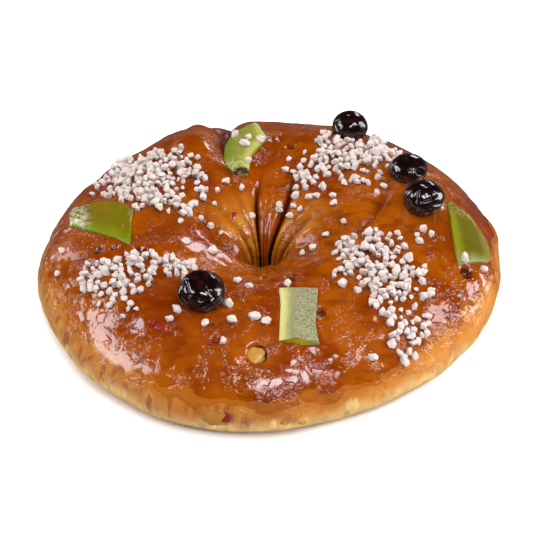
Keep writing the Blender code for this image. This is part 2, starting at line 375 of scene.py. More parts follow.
def section_at(along):
    """(share out, share up) on the section's curve, where along runs from 0 to 1."""
    padded = np.vstack([2 * SECTION[0] - SECTION[1], SECTION, 2 * SECTION[-1] - SECTION[-2]])
    position = np.clip(along, 0.0, 1.0) * (len(SECTION) - 1)
    index = np.minimum(position.astype(int), len(SECTION) - 2)
    t = (position - index)[..., None]
    curve = curve_between(*(padded[index + k] for k in range(4)), t)
    return curve[..., 0], np.maximum(curve[..., 1], 0.0)


def plain_ring(angle, along):
    """Points of the ring before its folds and lumps."""
    out, up = section_at(along)
    throat = waves(THROAT_RADIUS, THROAT_WAVES, angle)
    rim = waves(RING_RADIUS, OUTLINE_WAVES, angle)
    radius = throat + (rim - throat) * out
    turn = np.radians(angle)
    x = RING_CENTRE[0] + radius * np.cos(turn) + THROAT_OFFSET[0] * (1 - out)
    y = RING_CENTRE[1] + radius * np.sin(turn) + THROAT_OFFSET[1] * (1 - out)
    return np.stack([x, y, waves(CROWN_HEIGHT, HEIGHT_WAVES, angle) * up], axis=-1)


def ring_normal(angle, along):
    """The plain ring's outward normal, from two small steps on its surface."""
    turned, moved = 0.5, 0.0025  # degrees round the ring, and share of the way along the section
    round_step = plain_ring(angle + turned, along) - plain_ring(angle - turned, along)
    across_step = plain_ring(angle, along + moved) - plain_ring(angle, along - moved)
    normal = np.cross(across_step, round_step)
    return normal / np.linalg.norm(normal, axis=-1, keepdims=True)


# %% [markdown]
# Folds are where the dough was gathered towards the hole, and they drift sideways on their way
# out. Lumps are where it swelled between them. Both were decided with the solid, so they are the
# same here.

# %% Folds and lumps
# (its angle carried back to the throat, drift of the angle on the way out to the rim, half width
# at the throat, depth, shares of the way out where it starts and ends)
FOLDS = (
    (122.0, -22.0, 15.0, 5.2 * MM, 0.26, 1.04),
    (106.0, -40.0, 12.0, 3.6 * MM, -0.46, 0.46),
    (58.0, 34.0, 12.0, 4.0 * MM, -0.50, 0.50),
    (202.0, -190.0, 26.0, 3.2 * MM, -0.40, 0.40),
    (24.0, 40.0, 24.0, 2.4 * MM, -0.24, 0.24),
    (301.0, 150.0, 16.0, 3.4 * MM, 0.20, 0.62),
    (162.0, 51.0, 17.0, 2.2 * MM, 0.16, 0.72),
    (266.0, 3.0, 16.0, 0.8 * MM, -0.44, 0.44),
    (300.0, -5.0, 18.0, 1.2 * MM, -0.42, 0.42),
    (330.0, 0.0, 18.0, 1.8 * MM, -0.50, 0.50),
)

# (angle, share of the way out, half width in degrees, half width as a share, height)
LUMPS = (
    (121.0, 0.68, 14.0, 0.42, 4.6 * MM),
    (84.0, 0.62, 20.0, 0.46, -2.0 * MM),
    (262.0, 0.14, 80.0, 0.17, -1.6 * MM),
    (68.0, 0.62, 22.0, 0.40, 1.4 * MM),
    (40.0, 0.66, 22.0, 0.44, 1.8 * MM),
    (6.0, 0.60, 26.0, 0.50, 2.2 * MM),
    (318.0, 0.66, 32.0, 0.48, 2.2 * MM),
    (248.0, 0.62, 34.0, 0.48, 1.8 * MM),
    (200.0, 0.60, 24.0, 0.46, 1.6 * MM),
    (158.0, 0.40, 26.0, 0.34, 2.0 * MM),
)

UNEVENNESS = 0.9 * MM
UNEVENNESS_SIZE = 24.0 * MM
CREASE_SHARPNESS = 1.7
FOLD_NARROWING = 0.55  # how much of its angle a fold loses on its way out to the rim


def wrapped(angle):
    """An angle in degrees, brought to between -180 and 180."""
    return (angle + 180.0) % 360.0 - 180.0


def hump(x):
    """A smooth hump: 1 at x = 0, and 0 beyond x = 1 either way."""
    return (1.0 - np.clip(np.abs(x), 0.0, 1.0) ** 2) ** 2


def crease(x):
    """A valley with a narrow floor: 1 at x = 0, and 0 beyond x = 1 either way."""
    return (1.0 - np.clip(np.abs(x), 0.0, 1.0)) ** CREASE_SHARPNESS


def fold_depth(folds, angle, out):
    """How deep these folds press in at each point."""
    depth = np.zeros_like(out)
    for at, drift, half_width, deep, start, end in folds:
        off = wrapped(angle - at - drift * out) / (half_width * (1.0 - FOLD_NARROWING * out))
        depth += deep * crease(off) * np.sqrt(hump((2 * out - start - end) / (end - start)))
    return depth


def lump_height(angle, out):
    """How far the dough swells at each point."""
    return sum(
        tall * hump(wrapped(angle - at) / half_turn) * hump((out - share) / half_share)
        for at, share, half_turn, half_share, tall in LUMPS
    )


def wander(place, size, seed=0.0):
    """Smooth noise, about -1 to 1, with blotches of this size."""
    shift = Vector((seed, seed * 1.7, seed * 0.6))
    points = place.reshape(-1, 3) / size
    return np.reshape([noise.noise(Vector(p) + shift) for p in points], place.shape[:-1])


# %% [markdown]
# ## Creases, pits and wrinkles
# Between the big folds the crust is pulled into thin strands beside the hole. Elsewhere it has
# pits where fruit or a bubble broke the skin, and patches where the glaze wrinkled as it dried.
# They are moved into the mesh itself: each is a few numbers and a smooth function.

# %% Fine relief
FINE_FOLDS = (
    (106.0, -40.0, 4.0, 2.2 * MM, -0.30, 0.30),
    (58.0, 34.0, 4.0, 2.4 * MM, -0.36, 0.36),
    (88.0, -8.0, 6.0, 0.9 * MM, -0.40, 0.40),
    (76.0, 14.0, 6.0, 0.8 * MM, -0.42, 0.42),
    (122.0, -14.0, 8.0, 1.0 * MM, -0.44, 0.44),
    (142.0, -10.0, 9.0, 1.2 * MM, -0.40, 0.40),
    (160.0, 4.0, 8.0, 0.8 * MM, -0.40, 0.40),
    (40.0, 26.0, 10.0, 1.0 * MM, -0.44, 0.44),
    (24.0, 20.0, 8.0, 0.7 * MM, -0.44, 0.44),
    (120.0, -20.0, 6.0, 1.6 * MM, 0.40, 1.00),
)

# (angle, place along the section, radius, depth)
PITS = (
    (267.2, 0.630, 5.5 * MM, 3.8 * MM),
    (254.0, 0.605, 3.4 * MM, 1.4 * MM),
    (289.0, 0.405, 3.4 * MM, 2.2 * MM),
    (294.0, 0.385, 2.4 * MM, 1.6 * MM),
    (270.0, 0.380, 2.8 * MM, 1.6 * MM),
    (193.0, 0.588, 3.2 * MM, 3.0 * MM),
    (193.6, 0.553, 2.2 * MM, 3.4 * MM),
    (198.6, 0.500, 2.6 * MM, 2.6 * MM),
    (200.6, 0.498, 2.4 * MM, 2.4 * MM),
    (196.6, 0.503, 2.2 * MM, 2.0 * MM),
    (342.6, 0.680, 4.0 * MM, 4.0 * MM),
    (291.0, 0.545, 4.6 * MM, 1.9 * MM),
    (354.0, 0.530, 4.6 * MM, 1.2 * MM),
    (263.0, 0.692, 3.0 * MM, 1.1 * MM),
    (78.0, 0.510, 3.2 * MM, 2.0 * MM),
    (84.0, 0.540, 2.4 * MM, 1.2 * MM),
    (235.0, 0.610, 4.4 * MM, 1.3 * MM),
    (256.2, 0.828, 5.6 * MM, 1.5 * MM),
    (259.6, 0.828, 5.6 * MM, 1.5 * MM),
    (274.0, 0.850, 4.4 * MM, 1.2 * MM),
    (334.0, 0.730, 2.6 * MM, 1.2 * MM),
)

# (angle, place along the section, half width in degrees, half width along the section, strength)
WRINKLES = (
    (211.0, 0.68, 14.0, 0.080, 0.90),
    (228.0, 0.67, 12.0, 0.07, 0.80),
    (264.0, 0.69, 7.0, 0.05, 0.60),
    (276.0, 0.69, 9.0, 0.055, 0.70),
    (292.0, 0.67, 8.0, 0.05, 0.70),
    (326.0, 0.69, 18.0, 0.09, 0.90),
    (192.0, 0.70, 12.0, 0.05, 0.40),
    (152.0, 0.32, 26.0, 0.07, 0.80),
    (350.0, 0.36, 20.0, 0.06, 0.80),
    (62.0, 0.40, 26.0, 0.10, 0.70),
)


def patches(angle, along, table):
    """The strongest of these patches at each point."""
    found = np.zeros(np.broadcast(angle, along).shape)
    for at, place, half_turn, half_along, strength in table:
        here = hump(wrapped(angle - at) / half_turn) * hump((along - place) / half_along)
        found = np.maximum(found, strength * np.sqrt(here))
    return found


PIT_FLATNESS = 0.55  # below 1, a pit's floor is flat and its wall steep


def pit_depth(place):
    """How deep the pits are at each point."""
    depth = np.zeros(place.shape[:-1])
    for at, along, radius, deep in PITS:
        middle = plain_ring(np.array([at]), np.array([along]))[0]
        off = np.linalg.norm(place - middle, axis=-1) / radius
        depth += deep * hump(off) ** PIT_FLATNESS
    return depth


# (angle, place along the section, radius, height)
BULGES = (
    (261.0, 0.642, 7.0 * MM, 1.5 * MM),
    (278.0, 0.640, 8.5 * MM, 1.7 * MM),
    (289.0, 0.665, 7.0 * MM, 1.2 * MM),
    (301.0, 0.648, 8.5 * MM, 1.6 * MM),
    (306.0, 0.600, 7.0 * MM, 1.2 * MM),
    (210.0, 0.625, 13.0 * MM, 2.1 * MM),
    (221.0, 0.612, 12.0 * MM, 2.0 * MM),
    (231.0, 0.598, 11.0 * MM, 1.9 * MM),
    (333.0, 0.690, 8.0 * MM, 1.3 * MM),
    (342.0, 0.700, 7.0 * MM, 1.0 * MM),
    (112.0, 0.800, 8.0 * MM, 1.8 * MM),
    (114.0, 0.645, 7.0 * MM, 1.7 * MM),
    (107.0, 0.640, 6.0 * MM, 1.4 * MM),
    (189.0, 0.790, 34.0 * MM, 1.4 * MM),
    (8.0, 0.780, 13.0 * MM, 1.8 * MM),
)


def bulge_height(place):
    """How far the small bulges stand up at each point."""
    height = np.zeros(place.shape[:-1])
    for at, along, radius, tall in BULGES:
        middle = plain_ring(np.array([at]), np.array([along]))[0]
        height += tall * hump(np.linalg.norm(place - middle, axis=-1) / radius)
    return height


# (angle, place along the section, half width in degrees, half width along the section, depth in mm)
STRETCHED_SKIN = (
    (268.0, 0.33, 70.0, 0.14, 0.45),
    (168.0, 0.67, 30.0, 0.13, 0.70),
    (26.0, 0.66, 16.0, 0.08, 0.30),
    (194.0, 0.73, 18.0, 0.07, 0.60),
    (342.0, 0.73, 22.0, 0.08, 0.60),
)


MARKS_ROUND = 3.0  # the fewer of these, the longer the marks run round the ring
MARKS_ACROSS = 95.0  # the more of these, the finer they are across it


def stretch_marks(angle, along):
    """Noise drawn out round the ring, as dough stretches over the lip of the hole."""
    turn = np.radians(angle)
    x, y = MARKS_ROUND * np.cos(turn), MARKS_ROUND * np.sin(turn)
    return wander(np.stack([x, y, MARKS_ACROSS * along], axis=-1), 1.0, 5.0)


# %% [markdown]
# ## The crust's points
# All of this is added up along the plain ring's outward normal. The folds, lumps and fine relief
# fade out towards the base, so that the ring still stands on a flat underside. Small knobs and
# dimples all over keep any part of the crust from looking moulded.

# %% The bread's points
LOOPS_ROUND = 560
LOOPS_ACROSS = 156
FADE_HEIGHT = 0.25  # share of the crown's height below which the relief fades out
KNOB_SIZE = 11.0 * MM
DIMPLE_SIZE = 5.5 * MM


def crust(angle, along):
    """Points on the finished crust, and the fold depth, pit depth and wrinkle strength at each."""
    angle, along = np.broadcast_arrays(np.asarray(angle, float), np.asarray(along, float))
    out, up = section_at(along)
    place = plain_ring(angle, along)
    folds = fold_depth(FOLDS, angle, out)
    fine = fold_depth(FINE_FOLDS, angle, out)
    above_base = np.clip(up / FADE_HEIGHT, 0.0, 1.0)
    height = lump_height(angle, out) + UNEVENNESS * wander(place, UNEVENNESS_SIZE) - folds
    height = height * above_base
    wrinkled = patches(angle, along, WRINKLES)
    knobs = wander(place, KNOB_SIZE, 8.0)
    dimples = wander(place, DIMPLE_SIZE, 3.0)
    height += (0.42 * knobs + 0.26 * dimples) * MM * above_base * (1.0 - 0.6 * wrinkled)
    height += wrinkled * (0.20 - 0.7 * np.abs(dimples)) * MM
    height += patches(angle, along, STRETCHED_SKIN) * MM * stretch_marks(angle, along)
    pits = pit_depth(place)
    height += bulge_height(place) - fine * above_base - pits
    place = place + height[..., None] * ring_normal(angle, along)
    place[..., 2] = np.maximum(place[..., 2], 0.0)
    return place, folds + 1.4 * fine, pits, wrinkled


angles = np.arange(LOOPS_ROUND) * 360.0 / LOOPS_ROUND
alongs = np.linspace(0.0, 1.0, LOOPS_ACROSS)
grid, grid_folds, grid_pits, grid_wrinkles = crust(angles[:, None], alongs[None, :])
print("crust points:", grid.shape[0] * grid.shape[1])

# %% [markdown]
# ## Seats for the fruit
# Each piece of fruit was pressed into the dough before baking. The crust runs on unseen inside
# the fruit, so the two meet in a clean line with no gap, and it stands up in a low collar against
# the fruit's side. Where a lump would come through the top of a thin slice, it is pressed down.

# %% Press the fruit in
FRUIT = sorted(name for name in frame["nodes"] if name != "bread")
COLLAR_HEIGHT = 0.5 * MM
COLLAR_WIDTH = 1.8 * MM
COVER = 0.9 * MM  # how much fruit is left above the crust inside it
REACH = 30.0 * MM  # how far above the crust the top of the fruit is looked for
NEAR = 4 * MM  # how far round a piece of fruit the crust is looked at


def tree_of(thing):
    """A search tree of an object's faces."""
    mesh = thing.data
    points = [vert.co.copy() for vert in mesh.vertices]
    return BVHTree.FromPolygons(points, [tuple(face.vertices) for face in mesh.polygons])


def near_fruit(name):
    """The crust points round a piece of fruit, and its search tree."""
    low, high = (np.array(corner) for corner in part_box(name))
    near = np.all((grid > low - NEAR) & (grid < high + NEAR), axis=-1)
    return zip(*np.nonzero(near)), tree_of(frame["nodes"][name])


normals = ring_normal(angles[:, None], alongs[None, :])
for name in FRUIT:
    places, tree = near_fruit(name)
    for i, j in places:
        point = Vector(grid[i, j])
        normal = Vector(normals[i, j])
        distance = tree.find_nearest(point)[3]
        point += normal * COLLAR_HEIGHT * math.exp(-((distance / COLLAR_WIDTH) ** 2))
        over = point + normal * REACH
        hit, _, _, length = tree.ray_cast(over, -normal, REACH + COVER)
        if hit is not None and length > REACH - COVER:
            point = over - normal * (length + COVER)
        grid[i, j] = point
    print("seated", name)

# %% [markdown]
# The net of points becomes one closed mesh: loops of points bridged round the ring, and a flat
# base between its inner and outer edges. The numbers that the finish needs later, such as how
# deep in a fold a point lies, are stored on the points.

# %% Close the bread
def show(name, mesh):
    """Puts a mesh into the scene as an object."""
    piece = bpy.data.objects.new(name, mesh)
    bpy.context.scene.collection.objects.link(piece)
    return piece


def add_piece(name, points, faces, attributes=None):
    """A smooth mesh object in the scene, with numbers stored on its points."""
    mesh = bpy.data.meshes.new(name)
    mesh.from_pydata([tuple(p) for p in points], [], faces)
    for key, values in (attributes or {}).items():
        layer = mesh.attributes.new(key, "FLOAT", "POINT")
        layer.data.foreach_set("value", np.asarray(values, np.float32).ravel())
    shape = bmesh.new()
    shape.from_mesh(mesh)
    bmesh.ops.recalc_face_normals(shape, faces=shape.faces)
    shape.to_mesh(mesh)
    shape.free()
    mesh.shade_smooth()
    return show(name, mesh)


def ring_faces(rounds, across):
    """Quads of a net that closes on itself round the ring, and one strip for the base."""
    faces = []
    for i in range(rounds):
        here, there = i * across, (i + 1) % rounds * across
        faces += [(here + j, there + j, there + j + 1, here + j + 1) for j in range(across - 1)]
        faces.append((here + across - 1, there + across - 1, there, here))
    return faces


BREAD_SHARP_FROM = math.radians(60.0)  # keeps the edge of the base sharp

# (angle, place along the section where the brush missed)
BRUSHED_TO = np.array(
    [
        (0, 0.775), (30, 0.800), (90, 0.820), (150, 0.790), (190, 0.755), (205, 0.728), (225, 0.720),
        (238, 0.740), (250, 0.768), (265, 0.785), (285, 0.785), (300, 0.762), (318, 0.740), (335, 0.742),
    ]
)
# (angle, place along the section below which the dough is bare and pale)
BARE_FROM = np.array(
    [
        (0, 0.84), (60, 0.90), (150, 0.86), (195, 0.815), (222, 0.815), (245, 0.835), (262, 0.850),
        (278, 0.845), (292, 0.825), (305, 0.812), (318, 0.832), (335, 0.835), (350, 0.840),
    ]
)


def below(table):
    """How far along the section each point of the net lies past a limit that varies round the ring."""
    return alongs[None, :] - np.interp(angles, table[:, 0], table[:, 1], period=360.0)[:, None]


# Painted shadow beside the slice at the right, and painted shade in front of the hole
# (angle, place along the section, half width in degrees, half width along the section, strength)
PAINTED_SHADE_PATCHES = (
    (353.0, 0.60, 12.0, 0.085, 0.55),
    (274.0, 0.29, 34.0, 0.09, 0.40),
)

# Where stretched dough beside the hole took less colour: (angle, half width in degrees)
STRANDS = ((130.0, 44.0), (30.0, 46.0))
STRANDS_MIDDLE, STRANDS_REACH = 0.06, 0.24  # shares of the way out from the throat
STRAND_FOLD = 2.2 * MM  # how deep a fold ends a strand


def strand_share():
    """How much each point of the net belongs to a strand."""
    out = section_at(alongs)[0][None, :]
    turned = sum(hump(wrapped(angles[:, None] - at) / half_turn) for at, half_turn in STRANDS)
    near_hole = hump((out - STRANDS_MIDDLE) / STRANDS_REACH)
    return np.clip(1.5 * turned, 0.0, 1.0) * near_hole * np.exp(-grid_folds / STRAND_FOLD) * 0.8


bread = add_piece(
    "bread_crust",
    grid.reshape(-1, 3),
    ring_faces(LOOPS_ROUND, LOOPS_ACROSS),
    {
        "skirt": below(BRUSHED_TO),
        "bare": below(BARE_FROM),
        "fold": grid_folds / MM,
        "pit": grid_pits / MM,
        "wrinkle": grid_wrinkles,
        "strand": strand_share(),
        "darker": patches(angles[:, None], alongs[None, :], PAINTED_SHADE_PATCHES),
    },
)
bread.data.set_sharp_from_angle(angle=BREAD_SHARP_FROM)
print("bread triangles:", 2 * len(bread.data.polygons))

# %% [markdown]
# ## The crust's finish
# Egg glaze bakes to a deep, clear orange-brown on top. Lower on the flank the brush missed it,
# and a ragged tan edge gives way to pale, dry dough near the base. Shade is painted into the
# folds as a deep brown, and the pits are painted dark red for fruit stain and shade. The strands
# beside the hole stay yellower. The glaze is smooth enough for sharp reflections, which break up
# where it wrinkled or blistered, and the bare dough is duller.

# %% Colours of the crust
BROWN = (0.155, 0.0222, 0.0003)
DEEP_BROWN = (0.075, 0.0075, 0.0003)
# Dark red of the pits: fruit stain, and painted shade in their hollows
PIT_STAIN_AND_SHADE = (0.055, 0.008, 0.0008)
AMBER = (0.240, 0.0525, 0.0007)
HONEY = (0.420, 0.165, 0.016)
TAN = (0.440, 0.165, 0.022)
# Tan of the flank with painted shade, for its left side
TAN_IN_SHADE = (0.385, 0.158, 0.027)
PALE_DOUGH = (0.560, 0.350, 0.115)
BRUISE = (0.330, 0.140, 0.050)
STRETCHED = (0.640, 0.450, 0.160)
RUSSET = (0.190, 0.045, 0.012)

# %% Crust recipe: the brushed top
baked = Finish("baked_crust", IOR=1.56)
skirt = baked.attribute("skirt")
bare = baked.attribute("bare")
fold = baked.attribute("fold")
pitted = baked.attribute("pit")
wrinkle = baked.attribute("wrinkle")
strand = baked.attribute("strand")
darker = baked.attribute("darker")
broad = baked.mottle(0.030, detail=4.0)
small = baked.mottle(0.007, detail=4.0)
fine = baked.mottle(0.0015, detail=3.0)
brushed = baked.mottle(0.005, detail=5.0, where=baked.stretched((0.45, 1.0, 1.0)))
top = baked.mix(baked.rise(broad, 0.34, 0.60), AMBER, BROWN)
top = baked.mix(baked.rise(small, 0.50, 0.72) * 0.60, top, AMBER)
top = baked.mix(baked.rise(brushed, 0.50, 0.66) * 0.45, top, DEEP_BROWN)
top = baked.mix(baked.rise(broad, 0.60, 0.70) * 0.40, top, DEEP_BROWN)
top = baked.mix(strand * (0.45 + 0.55 * baked.rise(small, 0.36, 0.60)), top, HONEY)
# Painted shadow and shade: two patches of the crust are coloured deep brown.
top = baked.mix(darker * (0.55 + small), top, DEEP_BROWN)
# Painted shade: the folds are coloured deep brown by their depth.
top = baked.mix(baked.rise(fold, 0.8, 4.6) * 0.92, top, DEEP_BROWN)

# %% Crust recipe: tanned flank and bare dough
streaks = baked.mottle(0.0055, detail=4.0, where=baked.stretched((1.0, 1.0, 0.14)))
marks = baked.mottle(0.0040, detail=3.0, where=baked.stretched((1.0, 1.0, 0.16)))
dough = baked.mix(baked.rise(streaks, 0.46, 0.70) * 0.60, PALE_DOUGH, BRUISE)
dough = baked.mix(baked.rise(marks, 0.54, 0.62) * 0.80, dough, STRETCHED)
sideways = baked.node("ShaderNodeSeparateXYZ", None, {"Vector": baked.where}, "X")
# Painted shade: the tanned flank is coloured darker towards the left, where less light falls.
tanned = baked.mix(baked.rise(sideways, -0.030, 0.030), TAN_IN_SHADE, TAN)
tanned = baked.mix(baked.rise(streaks, 0.44, 0.66) * 0.45, tanned, AMBER)
russet = baked.rise(marks, 0.50, 0.60) * baked.rise(sideways, 0.040, -0.030)
tanned = baked.mix(russet * 0.75, tanned, RUSSET)
bare_edge = bare + (streaks - 0.5) * 0.14 + (broad - 0.5) * 0.08
lower = baked.mix(baked.rise(bare_edge, -0.02, 0.04), tanned, dough)

# %% Crust recipe: the ragged edge of the glaze
lobes = baked.mottle(0.013, detail=1.0)
edge = skirt + (broad - 0.5) * 0.08 + (lobes - 0.5) * 0.11 + (small - 0.5) * 0.014
skin = baked.mix(baked.rise(edge, -0.024, -0.019) * 0.30, top, TAN)
skin = baked.mix(baked.rise(edge, 0.002, 0.007) * 0.62, skin, lower)
dark_rim = baked.rise(edge, -0.001, 0.003) * baked.rise(edge, 0.009, 0.004)
skin = baked.mix(dark_rim * 0.45, skin, RUSSET)
skin = baked.mix(baked.rise(edge, 0.020, 0.050), skin, lower)
# Painted stain and shade: the pits are coloured dark red by their depth, for fruit stain and the shade in
# their hollows.
skin = baked.mix(baked.rise(pitted + (small - 0.5), 0.5, 1.8) * 0.92, skin, PIT_STAIN_AND_SHADE)
baked.feed("Base Color", skin)
baked.feed("Roughness", 0.085 + 0.05 * small + 0.26 * baked.rise(edge, 0.0, 0.08))

# %% Crust recipe: wrinkles and blisters finer than the mesh
lines = baked.cells(0.0056, "DISTANCE_TO_EDGE", baked.warped(0.003, 0.005))
grooved = baked.rise(lines, 0.12, 0.0) * baked.rise(baked.mottle(0.006), 0.45, 0.56)
puckers = baked.mottle(0.0026, detail=3.0, warp=0.8)
ripples = baked.mottle(0.0011, detail=2.0, where=baked.stretched((1.0, 0.35, 0.35)))
restless = baked.rise(baked.mottle(0.011, detail=4.0), 0.52, 0.62)
blistered = baked.rise(baked.cells(0.0032), 0.26, 0.04) * restless
rough_skin = restless * (1.0 - 0.8 * wrinkle)
baked.bumps(
    (fine, 0.030 * MM),
    (ripples * (0.03 + wrinkle * (0.3 + 0.7 * restless)), 0.16 * MM),
    (1.0 - grooved * (0.08 + wrinkle), 0.32 * MM),
    (puckers * (0.04 + rough_skin), 0.70 * MM),
    (blistered, 0.20 * MM),
    (small, 0.10 * MM),
)
bread.data.materials.append(baked.material)
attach(bread, "root")
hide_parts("bread")

# %% [markdown]
# ## Cherries
# Candied cherries are squashed balls, nearly black, with a skin that shrank in the syrup: some
# stay smooth, some are creased or pinched. A sculpted ball could have the same creases, but no
# numbers to change later. So each starts as a ball of many small faces that fills its solid's
# box, and its dents and creases are pressed in by direction from its middle. The stalk's scar
# is a low ring, and a cherry with its scar turned away has a shallow dent on top.

# %% Cherry shapes
BALL_DIVISIONS = 6


def unit_ball(divisions):
    """Directions and faces of a ball of small triangles."""
    shape = bmesh.new()
    bmesh.ops.create_icosphere(shape, subdivisions=divisions, radius=1.0)
    points = np.array([vert.co.normalized() for vert in shape.verts])
    faces = [tuple(vert.index for vert in face.verts) for face in shape.faces]
    shape.free()
    return points, faces


def direction(turn, rise):
    """A unit vector from a turn round +Z and a rise above the flat, in degrees."""
    turn, rise = math.radians(turn), math.radians(rise)
    return np.array([math.cos(rise) * math.cos(turn), math.cos(rise) * math.sin(turn), math.sin(rise)])


def pinch(way, middle, lean, reach, width, depth):
    """A crease across the skin: where its middle is, how it leans, and its size as shares of the radius."""
    centre = direction(*middle)
    level = np.cross(centre, (0.0, 0.0, 1.0))
    level /= np.linalg.norm(level)
    upright = np.cross(level, centre)
    run = math.cos(math.radians(lean)) * level + math.sin(math.radians(lean)) * upright
    across = np.cross(centre, run)
    this_side = np.clip((way @ centre - 0.3) / 0.4, 0.0, 1.0)
    return depth * this_side * crease((way @ across) / width) * np.sqrt(hump((way @ run) / reach))


# dents: (strength, size); creases: (middle, lean, reach, width, depth); scar: its middle or None;
# grown: how much wider than its solid's box it is along x, y and z
CHERRIES = {
    "cherry_front": {
        "dents": (0.080, 1.4),
        "creases": (
            ((205, 14), 60, 0.50, 0.13, 0.12),
            ((224, 12), 118, 0.45, 0.12, 0.11),
            ((258, 24), 15, 0.55, 0.13, 0.10),
            ((282, 12), 150, 0.45, 0.12, 0.09),
            ((300, 40), 80, 0.40, 0.11, 0.07),
            ((240, -12), 10, 0.50, 0.12, 0.08),
            ((215, 45), 30, 0.40, 0.10, 0.06),
        ),
        "scar": None,
        "grown": (1.04, 1.06, 1.08),
    },
    "cherry_back": {
        "dents": (0.025, 1.1),
        "creases": (((215, 18), 35, 0.40, 0.12, 0.05), ((205, 2), 60, 0.30, 0.10, 0.05)),
        "scar": None,
        "grown": (1.0, 1.0, 1.0),
    },
    "cherry_right": {
        "dents": (0.025, 1.1),
        "creases": (((240, 5), 100, 0.25, 0.08, 0.02),),
        "scar": (308, 26),
        "grown": (1.04, 1.02, 0.96),
    },
    "cherry_right_low": {
        "dents": (0.070, 1.3),
        "creases": (
            ((235, 46), 75, 0.60, 0.18, 0.16),
            ((212, 15), 80, 0.50, 0.12, 0.10),
            ((250, 12), 100, 0.50, 0.12, 0.09),
            ((288, 36), 170, 0.50, 0.12, 0.09),
            ((310, 8), 20, 0.40, 0.11, 0.08),
        ),
        "scar": None,
        "grown": (1.05, 1.05, 1.08),
    },
}
# All as shares of a cherry's radius
SCAR_RADIUS = 0.30
SCAR_WIDTH = 0.045
SCAR_HEIGHT = 0.030
GRAIN_SIZE = 0.22
GRAIN_HEIGHT = 0.012
TOP_DENT = 0.10
TOP_DENT_DROP = 0.03  # how far below the top of a round ball the dent has mostly faded


def cherry_points(way, low, high, dents, creases, scar, grown):
    """Moves the ball's points out to the skin of one cherry."""
    strength, size = dents
    radius = 1.0 + strength * (wander(way, 1.0 / size, low[0] * 1000) - 0.5)
    radius += GRAIN_HEIGHT * wander(way, GRAIN_SIZE, low[1] * 1000)
    for line in creases:
        radius -= pinch(way, *line)
    if scar is None:
        radius -= TOP_DENT * np.exp(-(1.0 - way[:, 2]) / TOP_DENT_DROP)
    else:
        off = np.linalg.norm(way - direction(*scar), axis=1)
        radius += SCAR_HEIGHT * np.exp(-(((off - SCAR_RADIUS) / SCAR_WIDTH) ** 2))
        radius -= SCAR_HEIGHT * hump(off / SCAR_RADIUS)
    middle = (low + high) / 2
    return middle + way * radius[:, None] * (high - low) / 2 * np.array(grown)


# %% [markdown]
# ## The cherries' finish
# The syrup left them almost black, with a dark red showing here and there. They are glassier than
# the crust, so the index of refraction is set higher, and their fine bumps tear the reflections of
# the boxes into the small bright marks of a shrunk skin.

# %% Cherry finish
CHERRY_BLACK = (0.004, 0.0012, 0.0014)
CHERRY_RED = (0.022, 0.004, 0.003)

cherry_skin = Finish("candied_cherry", Roughness=0.12, IOR=1.70)
cloud = cherry_skin.mottle(0.005)
reddish = cherry_skin.rise(cloud, 0.45, 0.75)
cherry_skin.feed("Base Color", cherry_skin.mix(reddish, CHERRY_BLACK, CHERRY_RED))
cherry_skin.bumps(
    (cherry_skin.mottle(0.0016, warp=0.6), 0.035 * MM),
    (cherry_skin.mottle(0.0045), 0.16 * MM),
)

# %% Make the cherries
ball, ball_faces = unit_ball(BALL_DIVISIONS)
for name, look in CHERRIES.items():
    low, high = (np.array(corner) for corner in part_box(name))
    piece = add_piece(name + "_fruit", cherry_points(ball, low, high, **look), ball_faces)
    piece.data.materials.append(cherry_skin.material)
    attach(piece, "root")
    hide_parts(name)
    print(name, "is", np.round((high - low) / MM, 1), "mm")

# %% [markdown]
# ## Slices of green fruit
# The green slices are candied melon or peel, boiled in syrup until they are clear. A subdivided
# copy of a solid would have soft corners and a net that is hard to paint. So each slice is laid
# out again by the rule of its solid: rows of its outline along a heading, over a smooth bed that
# fits the crust below. The finer net gives it rounded edges and dents, and each point remembers
# how far along, how far across and how near the rim it lies.

# %% Slice outlines
DOWN = Vector((0, 0, -1))
FAR_ABOVE = 0.2  # a height in metres that is clear of everything, to look down from

